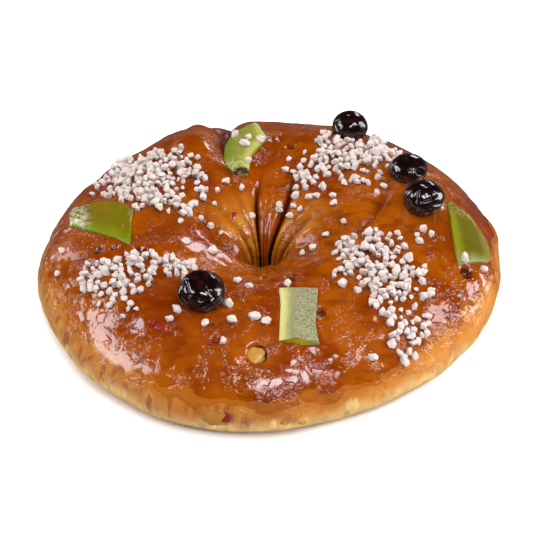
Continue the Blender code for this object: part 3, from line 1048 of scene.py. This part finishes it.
# Each has its middle, its heading, and rows in mm: (along, reach to the right, reach to the left).
# Then its thickness at the edges and the ridge, at the start and at the end, where the ridge runs
# as a share of the way across, how far the foot of its end runs out to a point, how much longer
# its right side is than its left, how deep it sits, its dents, and where its skin is crinkled:
# (share ahead, share across, radius in mm, depth in mm).
SLICES = {
    "green_left": {
        "middle": (-80.8 * MM, 3.9 * MM),
        "heading": 0.0,
        "rows": ((-16, 2.5, 18), (-9, -4, 16), (-2, -10, 14.5), (7, -16, 11), (15, -22, 4.5)),
        "edge": (2.1 * MM, 2.2 * MM),
        "ridge": (3.8 * MM, 4.4 * MM),
        "ridge_at": 0.55,
        "point": 0.0,
        "slant": 0.0,
        "sink": 1.3 * MM,
        "dents": 0.35 * MM,
        "crinkles": ((0.10, 0.55, 7.0, 1.5), (0.84, 0.30, 7.0, 1.3), (0.68, 0.72, 6.0, 1.0)),
    },
    "green_back": {
        "middle": (-12.8 * MM, 55.9 * MM),
        "heading": 90.0,
        "rows": (
            (-23.5, -1.2, 2.4),
            (-19.5, -2.2, 6.2),
            (-13, -2.7, 9.4),
            (-9, -3.4, 10.2),
            (-2, -6.6, 10),
            (8, -11, 8.6),
            (15, -8.4, 5.6),
            (22, -6.4, -3.6),
        ),
        "edge": (2.8 * MM, 3.2 * MM),
        "ridge": (4.2 * MM, 4.2 * MM),
        "ridge_at": 0.5,
        "point": 0.0,
        "slant": 0.0,
        "sink": 1.5 * MM,
        "dents": 0.40 * MM,
        "crinkles": ((0.24, 0.85, 5.0, 1.0), (0.05, 0.5, 4.0, 0.8)),
    },
    "green_right": {
        "middle": (92.2 * MM, -7.1 * MM),
        "heading": -90.0,
        "rows": (
            (-18, -7.5, -4.6),
            (-14, -7.8, 3.2),
            (-3, -7.2, 9.8),
            (6, -6.5, 11.4),
            (11, -6, 10.8),
            (15.2, -5.2, 8.6),
        ),
        "edge": (2.4 * MM, 2.8 * MM),
        "ridge": (3.4 * MM, 3.4 * MM),
        "ridge_at": 0.4,
        "point": 0.0,
        "slant": 10.0 * MM,
        "sink": 1.2 * MM,
        "dents": 0.25 * MM,
        "crinkles": ((0.13, 0.70, 5.0, 1.6), (0.30, 0.95, 4.0, 1.2), (0.95, 0.5, 4.0, 0.5)),
    },
    "green_front": {
        "middle": (12.7 * MM, -65.6 * MM),
        "heading": -90.0,
        "rows": ((-17.5, -9, 8.7), (-6, -8.4, 8), (5, -8.8, 7.2), (15.5, -9.2, 8.6)),
        "edge": (2.2 * MM, 1.9 * MM),
        "ridge": (1.9 * MM, 5.4 * MM),
        "ridge_at": 0.40,
        "point": 2.2 * MM,
        "slant": 0.0,
        "sink": 1.2 * MM,
        "dents": 0.25 * MM,
        "crinkles": ((0.97, 0.95, 4.0, 0.8),),
    },
}
SLICE_ROWS = 56
SLICE_COLUMNS = 40
SLICE_SHARP_FROM = math.radians(50.0)
RIM_RADIUS = 0.8 * MM
RIM_DROP = 0.8  # 1 would bring the rim down by its whole radius
DENT_SIZE = 5.0 * MM
SMALL_DENT_SIZE = 2.0 * MM
CRINKLE_SIZE = 2.6 * MM


def through(rows, along):
    """A slice's reach to (right, left) at a distance along: straight cuts right, a curve left."""
    known = rows[:, 0]
    index = int(np.clip(np.searchsorted(known, along) - 1, 0, len(rows) - 2))
    t = (along - known[index]) / (known[index + 1] - known[index])
    padded = np.vstack([2 * rows[0] - rows[1], rows, 2 * rows[-1] - rows[-2]])[:, 2]
    left = curve_between(*padded[index : index + 4], t)
    return np.interp(along, known, rows[:, 1]), left


def bed_under(tree, middle, forward, leftward, rows):
    """The quadratic that best fits the crust below a slice: a function that gives point and normal."""
    terms = []
    heights = []
    for along, right, left in rows:
        for across in np.linspace(right, left, 5):
            spot = middle + forward * along + leftward * across
            hit = tree.ray_cast(Vector((*spot[:2], FAR_ABOVE)), DOWN)[0]
            terms.append((1.0, along, across, along**2, along * across, across**2))
            heights.append(hit.z)
    a, b, c, d, e, f = np.linalg.lstsq(terms, heights, rcond=None)[0]
    up = np.array([0.0, 0.0, 1.0])

    def bed(along, across):
        height = a + b * along + c * across + d * along**2 + e * along * across + f * across**2
        spot = middle + forward * along + leftward * across + up * height
        slope_along = forward + up * (b + 2 * d * along + e * across)
        slope_across = leftward + up * (c + e * along + 2 * f * across)
        normal = np.cross(slope_along, slope_across)
        return spot, normal / np.linalg.norm(normal)

    return bed


def crowded(count):
    """Shares from 0 to 1 that crowd together at both ends, where an edge is rounded."""
    return 0.5 - 0.5 * np.cos(np.linspace(0.0, math.pi, count))


def slice_net(
    tree, middle, heading, rows, edge, ridge, ridge_at, point, slant, sink, dents, crinkles
):
    """Points and faces of one slice, and the numbers stored on its points."""
    turn = math.radians(heading)
    forward = np.array([math.cos(turn), math.sin(turn), 0.0])
    leftward = np.array([-math.sin(turn), math.cos(turn), 0.0])
    middle = np.array([*middle, 0.0])
    rows = np.array(rows) * MM
    bed = bed_under(tree, middle, forward, leftward, rows)
    start, end = rows[0][0], rows[-1][0]
    upper, lower, ahead, across, rim = [], [], [], [], []
    for share_ahead in crowded(SLICE_ROWS):
        right, left = through(rows, start + (end - start) * share_ahead)
        for share in crowded(SLICE_COLUMNS):
            crest = np.interp(share, (0.0, ridge_at, 1.0), (0.0, 1.0, 0.0))
            along = start + (end - start) * share_ahead + slant * (0.5 - share) * share_ahead**3
            place, normal = bed(along, right + (left - right) * share)
            sides = (
                (left - right) * min(share, 1 - share),
                (end - start) * min(share_ahead, 1 - share_ahead),
            )
            thick_edge = edge[0] + (edge[1] - edge[0]) * share_ahead
            thick_ridge = ridge[0] + (ridge[1] - ridge[0]) * share_ahead
            height = thick_edge + (thick_ridge - thick_edge) * crest - sink
            for side in sides:
                turned = 1.0 - min(side / RIM_RADIUS, 1.0)
                height -= RIM_RADIUS * (1.0 - math.sqrt(1.0 - turned**2)) * RIM_DROP
            height += dents * noise.noise(Vector(place / DENT_SIZE))
            height += 0.35 * dents * noise.noise(Vector(place / SMALL_DENT_SIZE))
            crinkle = noise.noise(Vector(place / CRINKLE_SIZE) + Vector((5.0, 5.0, 5.0)))
            for at_ahead, at_across, radius, depth in crinkles:
                off = math.hypot(
                    (share_ahead - at_ahead) * (end - start), (share - at_across) * (left - right)
                )
                height += depth * MM * float(hump(off / (radius * MM))) * (0.25 - abs(crinkle))
            upper.append(place + normal * height)
            foot = point * np.interp(share, (0.0, 0.55, 1.0), (0.0, 1.0, 0.0)) * share_ahead**6
            lower.append(place + forward * foot - normal * sink)
            ahead.append(share_ahead)
            across.append(share)
            rim.append(min(sides) / MM)
    count = len(upper)
    at = np.arange(count).reshape(SLICE_ROWS, SLICE_COLUMNS)
    faces = []
    for i in range(SLICE_ROWS - 1):
        for j in range(SLICE_COLUMNS - 1):
            quad = (at[i, j], at[i + 1, j], at[i + 1, j + 1], at[i, j + 1])
            faces += [quad, tuple(count + k for k in reversed(quad))]
    border = [*at[0], *at[1:, -1], *at[-1, -2::-1], *at[-2:0:-1, 0]]
    for here, there in zip(border, border[1:] + border[:1]):
        faces.append((here, there, count + there, count + here))
    numbers = {"ahead": ahead * 2, "across": across * 2, "rim": rim * 2}
    return upper + lower, [tuple(int(k) for k in face) for face in faces], numbers


# %% [markdown]
# ## The slices' finish
# A clear slice glows where it is thin: along one cut edge, and all round its rim. Its middle is
# deep and cloudy, and near its start, where its skin puckered, a pale sheen is painted on. Real
# clear material would need a long render and would turn muddy here, so the glow is painted by where
# each point lies in the slice, and light goes only a little way in. The slice at the front is peel:
# smooth on one side of its ridge, porous on the other.

# %% Green finishes
def clear_flesh(name):
    """The shared recipe of clear candied fruit: a wet coat, and light that goes a little way in."""
    return Finish(
        name,
        Roughness=0.45,
        IOR=1.42,
        Specular_IOR_Level=0.06,
        Coat_Weight=0.45,
        Coat_Roughness=0.12,
        Coat_IOR=1.42,
        Subsurface_Weight=0.30,
        Subsurface_Radius=(1.0, 0.9, 0.3),
        Subsurface_Scale=0.0015,
    )


NICK = (0.035, 0.006, 0.003)


def side_glow(
    name,
    deep,
    body,
    glow,
    pale,
    painted_sheen,
    glow_reach,
    pale_from,
    mirrored=False,
    dull_from=1.2,
    wet=0.45,
    nicked=False,
    end=None,
):
    """Deep in the middle, glowing along one cut edge, paler towards the other, with painted sheen at its
    start.

    It can be mirrored left to right, lose its wet coat from one share of its length on, have dark
    nicks at its start, and have a colour of its own at its end.
    """
    flesh = clear_flesh(name)
    flesh.bumps((flesh.mottle(0.0010), 0.05 * MM), (flesh.mottle(0.0030, warp=0.8), 0.30 * MM))
    across = flesh.attribute("across")
    if mirrored:
        across = 1.0 - across
    cloud = flesh.mottle(0.009)
    waver = (flesh.mottle(0.012) - 0.5) * 0.35
    tint = flesh.mix(flesh.rise(cloud, 0.40, 0.64), body, deep)
    tint = flesh.mix(flesh.rise(across + waver, glow_reach, 0.0), tint, glow)
    tint = flesh.mix(flesh.rise(across + waver, pale_from, pale_from + 0.25), tint, pale)
    tint = flesh.mix(flesh.rise(flesh.attribute("rim"), 1.1, 0.2) * 0.6, tint, glow)
    ahead = flesh.attribute("ahead")
    if end:
        tint = flesh.mix(flesh.rise(ahead + waver * 0.5, 0.78, 0.96) * 0.8, tint, end)
    puckered = flesh.rise(flesh.mottle(0.0026, warp=0.8), 0.40, 0.58)
    sheen_spots = flesh.rise(ahead + waver * 0.6, 0.32, 0.18) * puckered
    # Painted sheen: pale patches stand in for the glaze's reflection where the skin puckered near the
    # slice's start.
    tint = flesh.mix(sheen_spots * 0.75, tint, painted_sheen)
    if nicked:
        spots = flesh.rise(flesh.mottle(0.0030, detail=2.0), 0.50, 0.56)
        tint = flesh.mix(spots * flesh.rise(ahead, 0.11, 0.07), tint, NICK)
    flesh.feed("Base Color", tint)
    dull = flesh.rise(ahead + waver, dull_from - 0.04, dull_from + 0.12)
    dull = dull * flesh.rise(ahead + waver, 0.92, 0.80)
    flesh.feed("Coat Weight", (1.0 - dull) * wet)
    return flesh


PALE_LIME = (0.430, 0.410, 0.145)
DULL_LIME = (0.220, 0.200, 0.085)
GREY_GREEN = (0.240, 0.232, 0.125)
DARK_GREY_GREEN = (0.130, 0.124, 0.062)
PORE_GREEN = (0.10, 0.11, 0.03)
CUT_YELLOW = (0.26, 0.20, 0.010)
CUT_GREEN = (0.16, 0.20, 0.020)


def peel_side(name):
    """The pale slice: smooth lime green left of its ridge, grey-green and porous right of it."""
    flesh = clear_flesh(name)
    across = flesh.attribute("across")
    pores = flesh.cells(0.0013)
    speckle = flesh.mottle(0.0009, detail=4.0)
    ragged = across + (flesh.mottle(0.008) - 0.5) * 0.3
    smooth_side = flesh.mix(flesh.rise(ragged, 0.05, 0.32), PALE_LIME, DULL_LIME)
    porous = flesh.mix(flesh.rise(speckle, 0.42, 0.60), GREY_GREEN, DARK_GREY_GREEN)
    porous = flesh.mix(flesh.rise(pores, 0.36, 0.10) * 0.6, porous, PORE_GREEN)
    past_ridge = flesh.rise(across + (speckle - 0.5) * 0.30, 0.30, 0.45)
    tint = flesh.mix(past_ridge, smooth_side, porous)
    at_rim = flesh.rise(flesh.attribute("rim"), 0.12, 0.0)
    cut_face = at_rim * flesh.rise(flesh.attribute("ahead"), 0.97, 0.99)
    cut_tint = flesh.mix(flesh.rise(across, 0.55, 0.95), CUT_YELLOW, CUT_GREEN)
    flesh.feed("Base Color", flesh.mix(cut_face, tint, cut_tint))
    flesh.bumps((speckle, 0.20 * MM), (pores, 0.15 * MM))
    return flesh


FLESHES = {
    "green_left": side_glow(
        "green_left_flesh",
        deep=(0.130, 0.080, 0.002),
        body=(0.105, 0.088, 0.002),
        glow=(0.115, 0.155, 0.004),
        pale=(0.105, 0.100, 0.006),
        painted_sheen=(0.400, 0.390, 0.260),
        glow_reach=0.36,
        pale_from=0.85,
        dull_from=0.30,
        wet=1.0,
    ),
    "green_back": side_glow(
        "green_back_flesh",
        deep=(0.165, 0.172, 0.020),
        body=(0.168, 0.160, 0.027),
        glow=(0.110, 0.155, 0.008),
        pale=(0.290, 0.282, 0.068),
        painted_sheen=(0.330, 0.330, 0.120),
        glow_reach=0.40,
        pale_from=0.62,
        mirrored=True,
        nicked=True,
    ),
    "green_right": side_glow(
        "green_right_flesh",
        deep=(0.078, 0.062, 0.002),
        body=(0.085, 0.072, 0.003),
        glow=(0.150, 0.150, 0.005),
        pale=(0.150, 0.118, 0.022),
        painted_sheen=(0.210, 0.175, 0.070),
        glow_reach=0.30,
        pale_from=0.68,
        end=(0.180, 0.190, 0.060),
    ),
    "green_front": peel_side("green_front_flesh"),
}

# %% Make the slices
crust_tree = BVHTree.FromPolygons(
    [Vector(p) for p in grid.reshape(-1, 3)], ring_faces(LOOPS_ROUND, LOOPS_ACROSS)
)
for name, shape in SLICES.items():
    points, faces, numbers = slice_net(crust_tree, **shape)
    piece = add_piece(name + "_slice", points, faces, numbers)
    piece.data.set_sharp_from_angle(angle=SLICE_SHARP_FROM)
    piece.data.materials.append(FLESHES[name].material)
    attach(piece, "root")
    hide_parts(name)
    print(name, "triangles:", 2 * len(faces))

# %% [markdown]
# ## Bits of fruit in the dough
# The dough itself holds chopped candied fruit. Here and there a bit broke the skin: dark red ones,
# honey-yellow ones, the largest in the burst bubble at the front, and a green sliver. Each is a
# small ball squashed along three directions of the crust where it sits, roughened, and sunk in.

# %% Fruit bits
# (angle, place along the section, (size round the ring, across it, out of it) mm, sink mm, colour
# from 0 = red, by 0.7 = yellow, to 1 = green)
BITS = (
    (265.6, 0.626, (8.2, 8.6, 3.4), 1.6, 0.72),
    (235.5, 0.608, (4.6, 2.4, 1.6), 0.9, 0.00),
    (232.5, 0.604, (2.4, 1.8, 1.3), 0.7, 0.10),
    (255.5, 0.600, (2.2, 1.7, 1.4), 0.7, 0.05),
    (252.8, 0.612, (1.6, 1.5, 1.2), 0.5, 0.15),
    (260.0, 0.828, (3.4, 3.4, 1.8), 1.0, 0.16),
    (256.4, 0.828, (7.0, 5.0, 1.8), 0.9, 0.52),
    (273.0, 0.850, (3.0, 1.6, 1.4), 0.5, 0.80),
    (277.5, 0.855, (2.2, 1.5, 1.3), 0.5, 0.85),
    (216.0, 0.585, (3.2, 1.3, 1.3), 0.4, 1.00),
    (343.2, 0.683, (1.8, 1.5, 1.2), 2.4, 0.30),
    (131.0, 0.315, (1.6, 1.3, 1.0), 0.4, 0.05),
    (194.6, 0.574, (2.6, 1.6, 1.2), 1.2, 0.30),
)
BIT_DIVISIONS = 4


def grid_point(angle, along):
    """The crust's point and outward normal nearest to an angle and a place along the section."""
    i = round(angle / 360.0 * LOOPS_ROUND) % LOOPS_ROUND
    j = round(along * (LOOPS_ACROSS - 1))
    return grid[i, j], normals[i, j]


def bit_points(way, angle, along, size, sink, seed):
    """Moves the ball's points out to the skin of one bit, set into the crust."""
    place, normal = grid_point(angle, along)
    level = np.array([-math.sin(math.radians(angle)), math.cos(math.radians(angle)), 0.0])
    across = np.cross(normal, level)
    radius = 1.0 + 0.34 * wander(way, 0.8, seed) + 0.16 * wander(way, 0.35, seed)
    shares = way * radius[:, None] * np.array(size) * MM
    turned = shares[:, :1] * level + shares[:, 1:2] * across + shares[:, 2:] * normal
    return place - normal * sink * MM + turned


bit_ball, bit_faces = unit_ball(BIT_DIVISIONS)
bit_places, bit_nets, bit_tints = [], [], []
for index, (angle, along, size, sink, tint) in enumerate(BITS):
    bit_nets += [tuple(k + index * len(bit_ball) for k in face) for face in bit_faces]
    bit_places.append(bit_points(bit_ball, angle, along, size, sink, index * 3.1))
    bit_tints += [tint] * len(bit_ball)
bits = add_piece("fruit_bits", np.concatenate(bit_places), bit_nets, {"tint": bit_tints})

# %% Finish of the bits
DARK_RED = (0.100, 0.006, 0.005)
RED = (0.240, 0.020, 0.012)
DARK_YELLOW = (0.260, 0.110, 0.010)
YELLOW = (0.420, 0.210, 0.035)
SLIVER_GREEN = (0.260, 0.240, 0.020)

chopped = Finish(
    "chopped_fruit",
    Roughness=0.22,
    IOR=1.45,
    Subsurface_Weight=0.25,
    Subsurface_Radius=(1.0, 0.4, 0.2),
    Subsurface_Scale=0.0012,
)
tint = chopped.attribute("tint")
mottled = chopped.mottle(0.0018)
red = chopped.mix(mottled, DARK_RED, RED)
yellow = chopped.mix(mottled, DARK_YELLOW, YELLOW)
colour = chopped.mix(chopped.rise(tint, 0.15, 0.70), red, yellow)
colour = chopped.mix(chopped.rise(tint, 0.92, 0.98), colour, SLIVER_GREEN)
chopped.feed("Base Color", colour)
chopped.bumps((mottled, 0.25 * MM))
bits.data.materials.append(chopped.material)
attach(bits, "root")
print("fruit bits:", len(BITS), "with", len(bits.data.polygons), "triangles")

# %% [markdown]
# ## Sugar nibs
# Nib sugar is crushed from blocks and sieved, so each nib is a broken crystal about four
# millimetres across. They fell in heaps where the baker's hand opened, with strays between. The
# heaps are work for Geometry Nodes: points are scattered over the crust by a density stored on
# it, and each gets a nib of one of a few shapes, turned and scaled at random from a fixed seed.
# The nibs that lie alone are set down one by one, because chance wouldn't put them so.

# %% Nib shapes
NIB_KINDS = 7
NIB_SIZE = 2.15 * MM  # half the width of a usual nib
NIB_CORNERS = 18
NIB_SEED = 70


def nib_mesh(kind):
    """A broken crystal: the tightest skin round a few points near a ball, drawn from a fixed seed."""
    draw = np.random.default_rng(NIB_SEED + kind)
    corners = draw.normal(size=(NIB_CORNERS, 3))
    corners /= np.linalg.norm(corners, axis=1, keepdims=True)
    corners *= draw.uniform(0.86, 1.10, (NIB_CORNERS, 1))
    corners *= draw.uniform((0.95, 0.72, 0.60), (1.30, 1.0, 0.85)) * NIB_SIZE
    shape = bmesh.new()
    for corner in corners:
        shape.verts.new(corner)
    hull = bmesh.ops.convex_hull(shape, input=shape.verts)
    bmesh.ops.delete(shape, geom=hull["geom_interior"], context="VERTS")
    bmesh.ops.recalc_face_normals(shape, faces=shape.faces)
    mesh = bpy.data.meshes.new(f"nib_{kind}")
    shape.to_mesh(mesh)
    shape.free()
    mesh.shade_flat()
    return mesh


nib_shapes = bpy.data.collections.new("nib_shapes")
for kind in range(NIB_KINDS):
    nib_shapes.objects.link(bpy.data.objects.new(f"nib_{kind}", nib_mesh(kind)))

# %% Where the sugar lies
# (angle, place along the section, half width in degrees, half width along the section, strength)
HEAPS = (
    (147.0, 0.54, 20.0, 0.160, 1.00),
    (132.0, 0.50, 8.0, 0.090, 1.00),
    (135.0, 0.45, 6.5, 0.065, 0.80),
    (161.0, 0.47, 12.0, 0.110, 1.00),
    (138.0, 0.39, 11.0, 0.060, 0.45),
    (52.0, 0.53, 19.0, 0.120, 1.00),
    (36.0, 0.50, 11.0, 0.070, 0.70),
    (62.0, 0.44, 11.0, 0.080, 0.50),
    (52.0, 0.40, 12.0, 0.060, 0.40),
    (343.0, 0.46, 11.0, 0.068, 1.00),
    (349.0, 0.53, 7.0, 0.060, 0.60),
    (333.0, 0.46, 15.0, 0.120, 1.00),
    (326.0, 0.54, 12.0, 0.115, 0.95),
    (315.0, 0.51, 8.0, 0.085, 1.00),
    (314.0, 0.63, 10.0, 0.105, 0.75),
    (308.0, 0.69, 6.0, 0.060, 0.60),
    (212.0, 0.545, 11.0, 0.105, 1.00),
    (218.0, 0.46, 11.0, 0.058, 1.00),
    (207.0, 0.615, 10.0, 0.060, 0.90),
    (220.0, 0.61, 9.0, 0.050, 0.40),
)
HEAP_EDGE = 2.6  # how steeply a heap thins out
RAGGED_SIZE = 11.0 * MM  # the size of the notches in a heap's edge
STRAYS = 0.006  # a light scatter everywhere on top
TOP_MIDDLE, TOP_REACH = 0.47, 0.26  # along the section, where strays can lie
FRUIT_MARGIN = 1.0 * MM
HEAPED_FROM = 0.75  # the density from which nibs lie on nibs
HEAPED_MOST = 0.6
UP = Vector((0, 0, 1))


def sugar_density(angle, along, place):
    """0 where there is no sugar, 1 where it lies thickest."""
    ragged = 1.0 + 0.8 * wander(place, RAGGED_SIZE, 21.0)
    density = np.zeros(place.shape[:-1])
    for at, where, half_turn, half_along, strength in HEAPS:
        off = np.hypot(wrapped(angle - at) / half_turn, (along - where) / half_along)
        density = np.maximum(density, strength * np.clip((1.0 - off) * HEAP_EDGE * ragged, 0.0, 1.0))
    on_top = hump((along - TOP_MIDDLE) / TOP_REACH)
    return np.maximum(density, STRAYS * on_top)


sugar = sugar_density(angles[:, None], alongs[None, :], grid)
for name in FRUIT:
    places, tree = near_fruit(name)
    for i, j in places:
        place = Vector(grid[i, j])
        under = tree.ray_cast(place, UP)[0] is not None
        if under or tree.find_nearest(place)[3] < FRUIT_MARGIN:
            sugar[i, j] = 0.0
bed = add_piece(
    "sugar_bed",
    grid.reshape(-1, 3),
    ring_faces(LOOPS_ROUND, LOOPS_ACROSS),
    {"sugar": sugar, "heaped": np.clip((sugar - HEAPED_FROM) * 4.0, 0.0, 1.0) * HEAPED_MOST},
)

# %% [markdown]
# ## The sugar's finish
# Each nib is made of many tiny crystals, so light goes in, wanders and comes out again softly.
# That is subsurface scattering, with a grain for the crystals' broken faces.

# %% Sugar finish
SUGAR_SHADE = (0.420, 0.348, 0.306)
SUGAR_WHITE = (0.560, 0.495, 0.462)

nib_white = Finish(
    "nib_sugar",
    Roughness=0.45,
    IOR=1.45,
    Subsurface_Weight=0.65,
    Subsurface_Radius=(1.0, 0.85, 0.7),
    Subsurface_Scale=0.0022,
)
grainy = nib_white.mottle(0.0006, detail=2.0)
nib_white.feed("Base Color", nib_white.mix(grainy, SUGAR_SHADE, SUGAR_WHITE))
nib_white.bumps((grainy, 0.10 * MM))

# %% The scatter, as a tree of Geometry Nodes
NIB_SCALES = (0.66, 1.30)


def scatter_tree():
    """Scatters shapes over a bed by a density. Gives the tree and its sockets' identifiers."""
    tree = bpy.data.node_groups.new("scatter_nibs", "GeometryNodeTree")
    face = tree.interface
    face.new_socket("Bed", in_out="INPUT", socket_type="NodeSocketGeometry")
    kinds = {
        "Shapes": "NodeSocketCollection",
        "Density": "NodeSocketString",
        "Spacing": "NodeSocketFloat",
        "Most": "NodeSocketFloat",
        "Lift": "NodeSocketFloat",
        "Seed": "NodeSocketInt",
        "Finish": "NodeSocketMaterial",
    }
    named = {name: face.new_socket(name, in_out="INPUT", socket_type=kind) for name, kind in kinds.items()}
    face.new_socket("Nibs", in_out="OUTPUT", socket_type="NodeSocketGeometry")
    nodes, links = tree.nodes, tree.links
    given, result = nodes.new("NodeGroupInput"), nodes.new("NodeGroupOutput")

    density = nodes.new("GeometryNodeInputNamedAttribute")
    density.data_type = "FLOAT"
    links.new(given.outputs["Density"], density.inputs["Name"])
    points = nodes.new("GeometryNodeDistributePointsOnFaces")
    points.distribute_method = "POISSON"
    links.new(given.outputs["Bed"], points.inputs["Mesh"])
    links.new(given.outputs["Spacing"], points.inputs["Distance Min"])
    links.new(given.outputs["Most"], points.inputs["Density Max"])
    links.new(density.outputs["Attribute"], points.inputs["Density Factor"])
    links.new(given.outputs["Seed"], points.inputs["Seed"])

    raised = nodes.new("ShaderNodeVectorMath")
    raised.operation = "SCALE"
    links.new(points.outputs["Normal"], raised.inputs[0])
    links.new(given.outputs["Lift"], raised.inputs["Scale"])
    moved = nodes.new("GeometryNodeSetPosition")
    links.new(points.outputs["Points"], moved.inputs["Geometry"])
    links.new(raised.outputs[0], moved.inputs["Offset"])

    turn = nodes.new("FunctionNodeRandomValue")
    turn.data_type = "FLOAT_VECTOR"
    turn.inputs["Max"].default_value = (math.tau, math.tau, math.tau)
    size = nodes.new("FunctionNodeRandomValue")
    size.data_type = "FLOAT"
    size.inputs[2].default_value, size.inputs[3].default_value = NIB_SCALES
    shapes = nodes.new("GeometryNodeCollectionInfo")
    shapes.inputs["Separate Children"].default_value = True
    links.new(given.outputs["Shapes"], shapes.inputs["Collection"])
    placed = nodes.new("GeometryNodeInstanceOnPoints")
    placed.inputs["Pick Instance"].default_value = True
    links.new(moved.outputs["Geometry"], placed.inputs["Points"])
    links.new(shapes.outputs["Instances"], placed.inputs["Instance"])
    links.new(turn.outputs["Value"], placed.inputs["Rotation"])
    links.new(size.outputs[1], placed.inputs["Scale"])

    real = nodes.new("GeometryNodeRealizeInstances")
    painted = nodes.new("GeometryNodeSetMaterial")
    links.new(placed.outputs["Instances"], real.inputs["Geometry"])
    links.new(real.outputs["Geometry"], painted.inputs["Geometry"])
    links.new(given.outputs["Finish"], painted.inputs["Material"])
    links.new(painted.outputs["Geometry"], result.inputs["Nibs"])
    return tree, {name: socket.identifier for name, socket in named.items()}


def scattered(name, bed, tree, sockets, values):
    """Runs the tree on a bed and gives its result as a plain mesh object."""
    modifier = bed.modifiers.new("scatter", "NODES")
    modifier.node_group = tree
    for key, value in values.items():
        modifier[sockets[key]] = value
    bed.update_tag()
    finished = bed.evaluated_get(bpy.context.evaluated_depsgraph_get())
    mesh = bpy.data.meshes.new_from_object(finished)
    bed.modifiers.remove(modifier)
    mesh.name = name
    return show(name, mesh)


# %% Lay the sugar
# (density, seed, least distance between nibs, most nibs to a square metre, height over the crust)
LAYERS = (
    ("sugar", 4, 2.55 * MM, 170000.0, 1.0 * MM),
    ("heaped", 9, 3.0 * MM, 110000.0, 3.0 * MM),
)


def joined(name, pieces, finish):
    """One mesh object made of several, all in one finish."""
    shape = bmesh.new()
    for piece in pieces:
        shape.from_mesh(piece.data)
    mesh = bpy.data.meshes.new(name)
    shape.to_mesh(mesh)
    shape.free()
    mesh.materials.append(finish.material)
    mesh.polygons.foreach_set("material_index", [0] * len(mesh.polygons))
    for piece in pieces:
        bpy.data.objects.remove(piece)
    return show(name, mesh)


# Single nibs apart from the heaps: (x mm, y mm, size), dropped straight down on what is below
SINGLES_SEED = 31
SINGLES_LIFT = 0.9 * MM
SINGLES = (
    (-22, 29, 1.1), (-26, 24, 0.9), (-32, 25, 1.0), (-36, 28, 0.9), (-29, 5, 1.2), (-27, -13, 1.3),
    (-43, 2, 1.0), (-40, -13, 1.0), (-24, 2, 0.8), (-9, 12, 1.0), (4, 18, 1.1), (-10, -46, 1.0),
    (-19, -61, 1.3), (-17, -71, 1.4), (-7, -69, 1.4), (-2, -71, 1.3), (-21, -82, 1.1), (-29, -72, 1.1),
    (-42, -63, 1.3), (-45, -68, 1.1), (-99, -12, 1.1), (-100, -25, 0.9), (55, 23, 1.1), (-18, 66, 1.2),
    (-11, 60, 1.0), (-13, 54, 1.4), (-5, 59, 1.1), (-11, 41, 1.2), (90, -24, 1.3), (100, -22, 1.1),
    (73, -47, 1.0), (64, -77, 1.2), (45, -83, 1.2), (59, -79, 1.0), (16, 44, 1.0), (7, 38, 1.0),
    (11, 38, 1.0), (9, 46, 0.8), (19, 32, 1.0), (21, 29, 1.0), (17, 26, 0.9), (25, 26, 1.1),
    (22, 20, 1.0), (30, 18, 1.0), (12, 23, 1.2), (11, 17, 0.9), (14, 15, 0.9), (4, 16, 1.0),
    (9, 12, 1.0), (30, 12, 1.0), (26, -8, 1.0), (20, -13, 1.1), (15, -13, 0.8),
)


def dropped(name, shapes, places, onto):
    """Nibs set down one by one, each with its middle a little above what lies below its place."""
    draw = np.random.default_rng(SINGLES_SEED)
    shape = bmesh.new()
    for index, (x, y, size) in enumerate(places):
        start = Vector((x * MM, y * MM, FAR_ABOVE))
        hits = [tree.ray_cast(start, DOWN)[0] for tree in onto]
        top = max((hit for hit in hits if hit is not None), key=lambda hit: hit.z)
        turned = Matrix.Rotation(draw.uniform(0.0, math.tau), 4, draw.normal(size=3))
        before = len(shape.verts)
        shape.from_mesh(shapes.objects[index % len(shapes.objects)].data)
        shape.verts.ensure_lookup_table()
        moved = Matrix.Translation(top + UP * SINGLES_LIFT) @ turned @ Matrix.Scale(size, 4)
        bmesh.ops.transform(shape, matrix=moved, verts=shape.verts[before:])
    mesh = bpy.data.meshes.new(name)
    shape.to_mesh(mesh)
    shape.free()
    return show(name, mesh)


tree, sockets = scatter_tree()
layers = []
for density, seed, spacing, most, lift in LAYERS:
    values = {
        "Shapes": nib_shapes,
        "Density": density,
        "Spacing": spacing,
        "Most": most,
        "Lift": lift,
        "Seed": seed,
        "Finish": nib_white.material,
    }
    layers.append(scattered("sugar_layer", bed, tree, sockets, values))
    print("layer", density, "has", len(layers[-1].data.polygons), "faces")
bpy.data.objects.remove(bed)
slice_trees = [tree_of(bpy.data.objects[name + "_slice"]) for name in SLICES]
layers.append(dropped("sugar_singles", nib_shapes, SINGLES, [crust_tree, *slice_trees]))
nibs = joined("sugar_nibs", layers, nib_white)
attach(nibs, "root")
print("nib triangles:", len(nibs.data.polygons))

# %% [markdown]
# ## Sizes
# The box round everything that is shown, the finished ring with its fruit and sugar, is measured.

# %% Sizes
low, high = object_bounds()
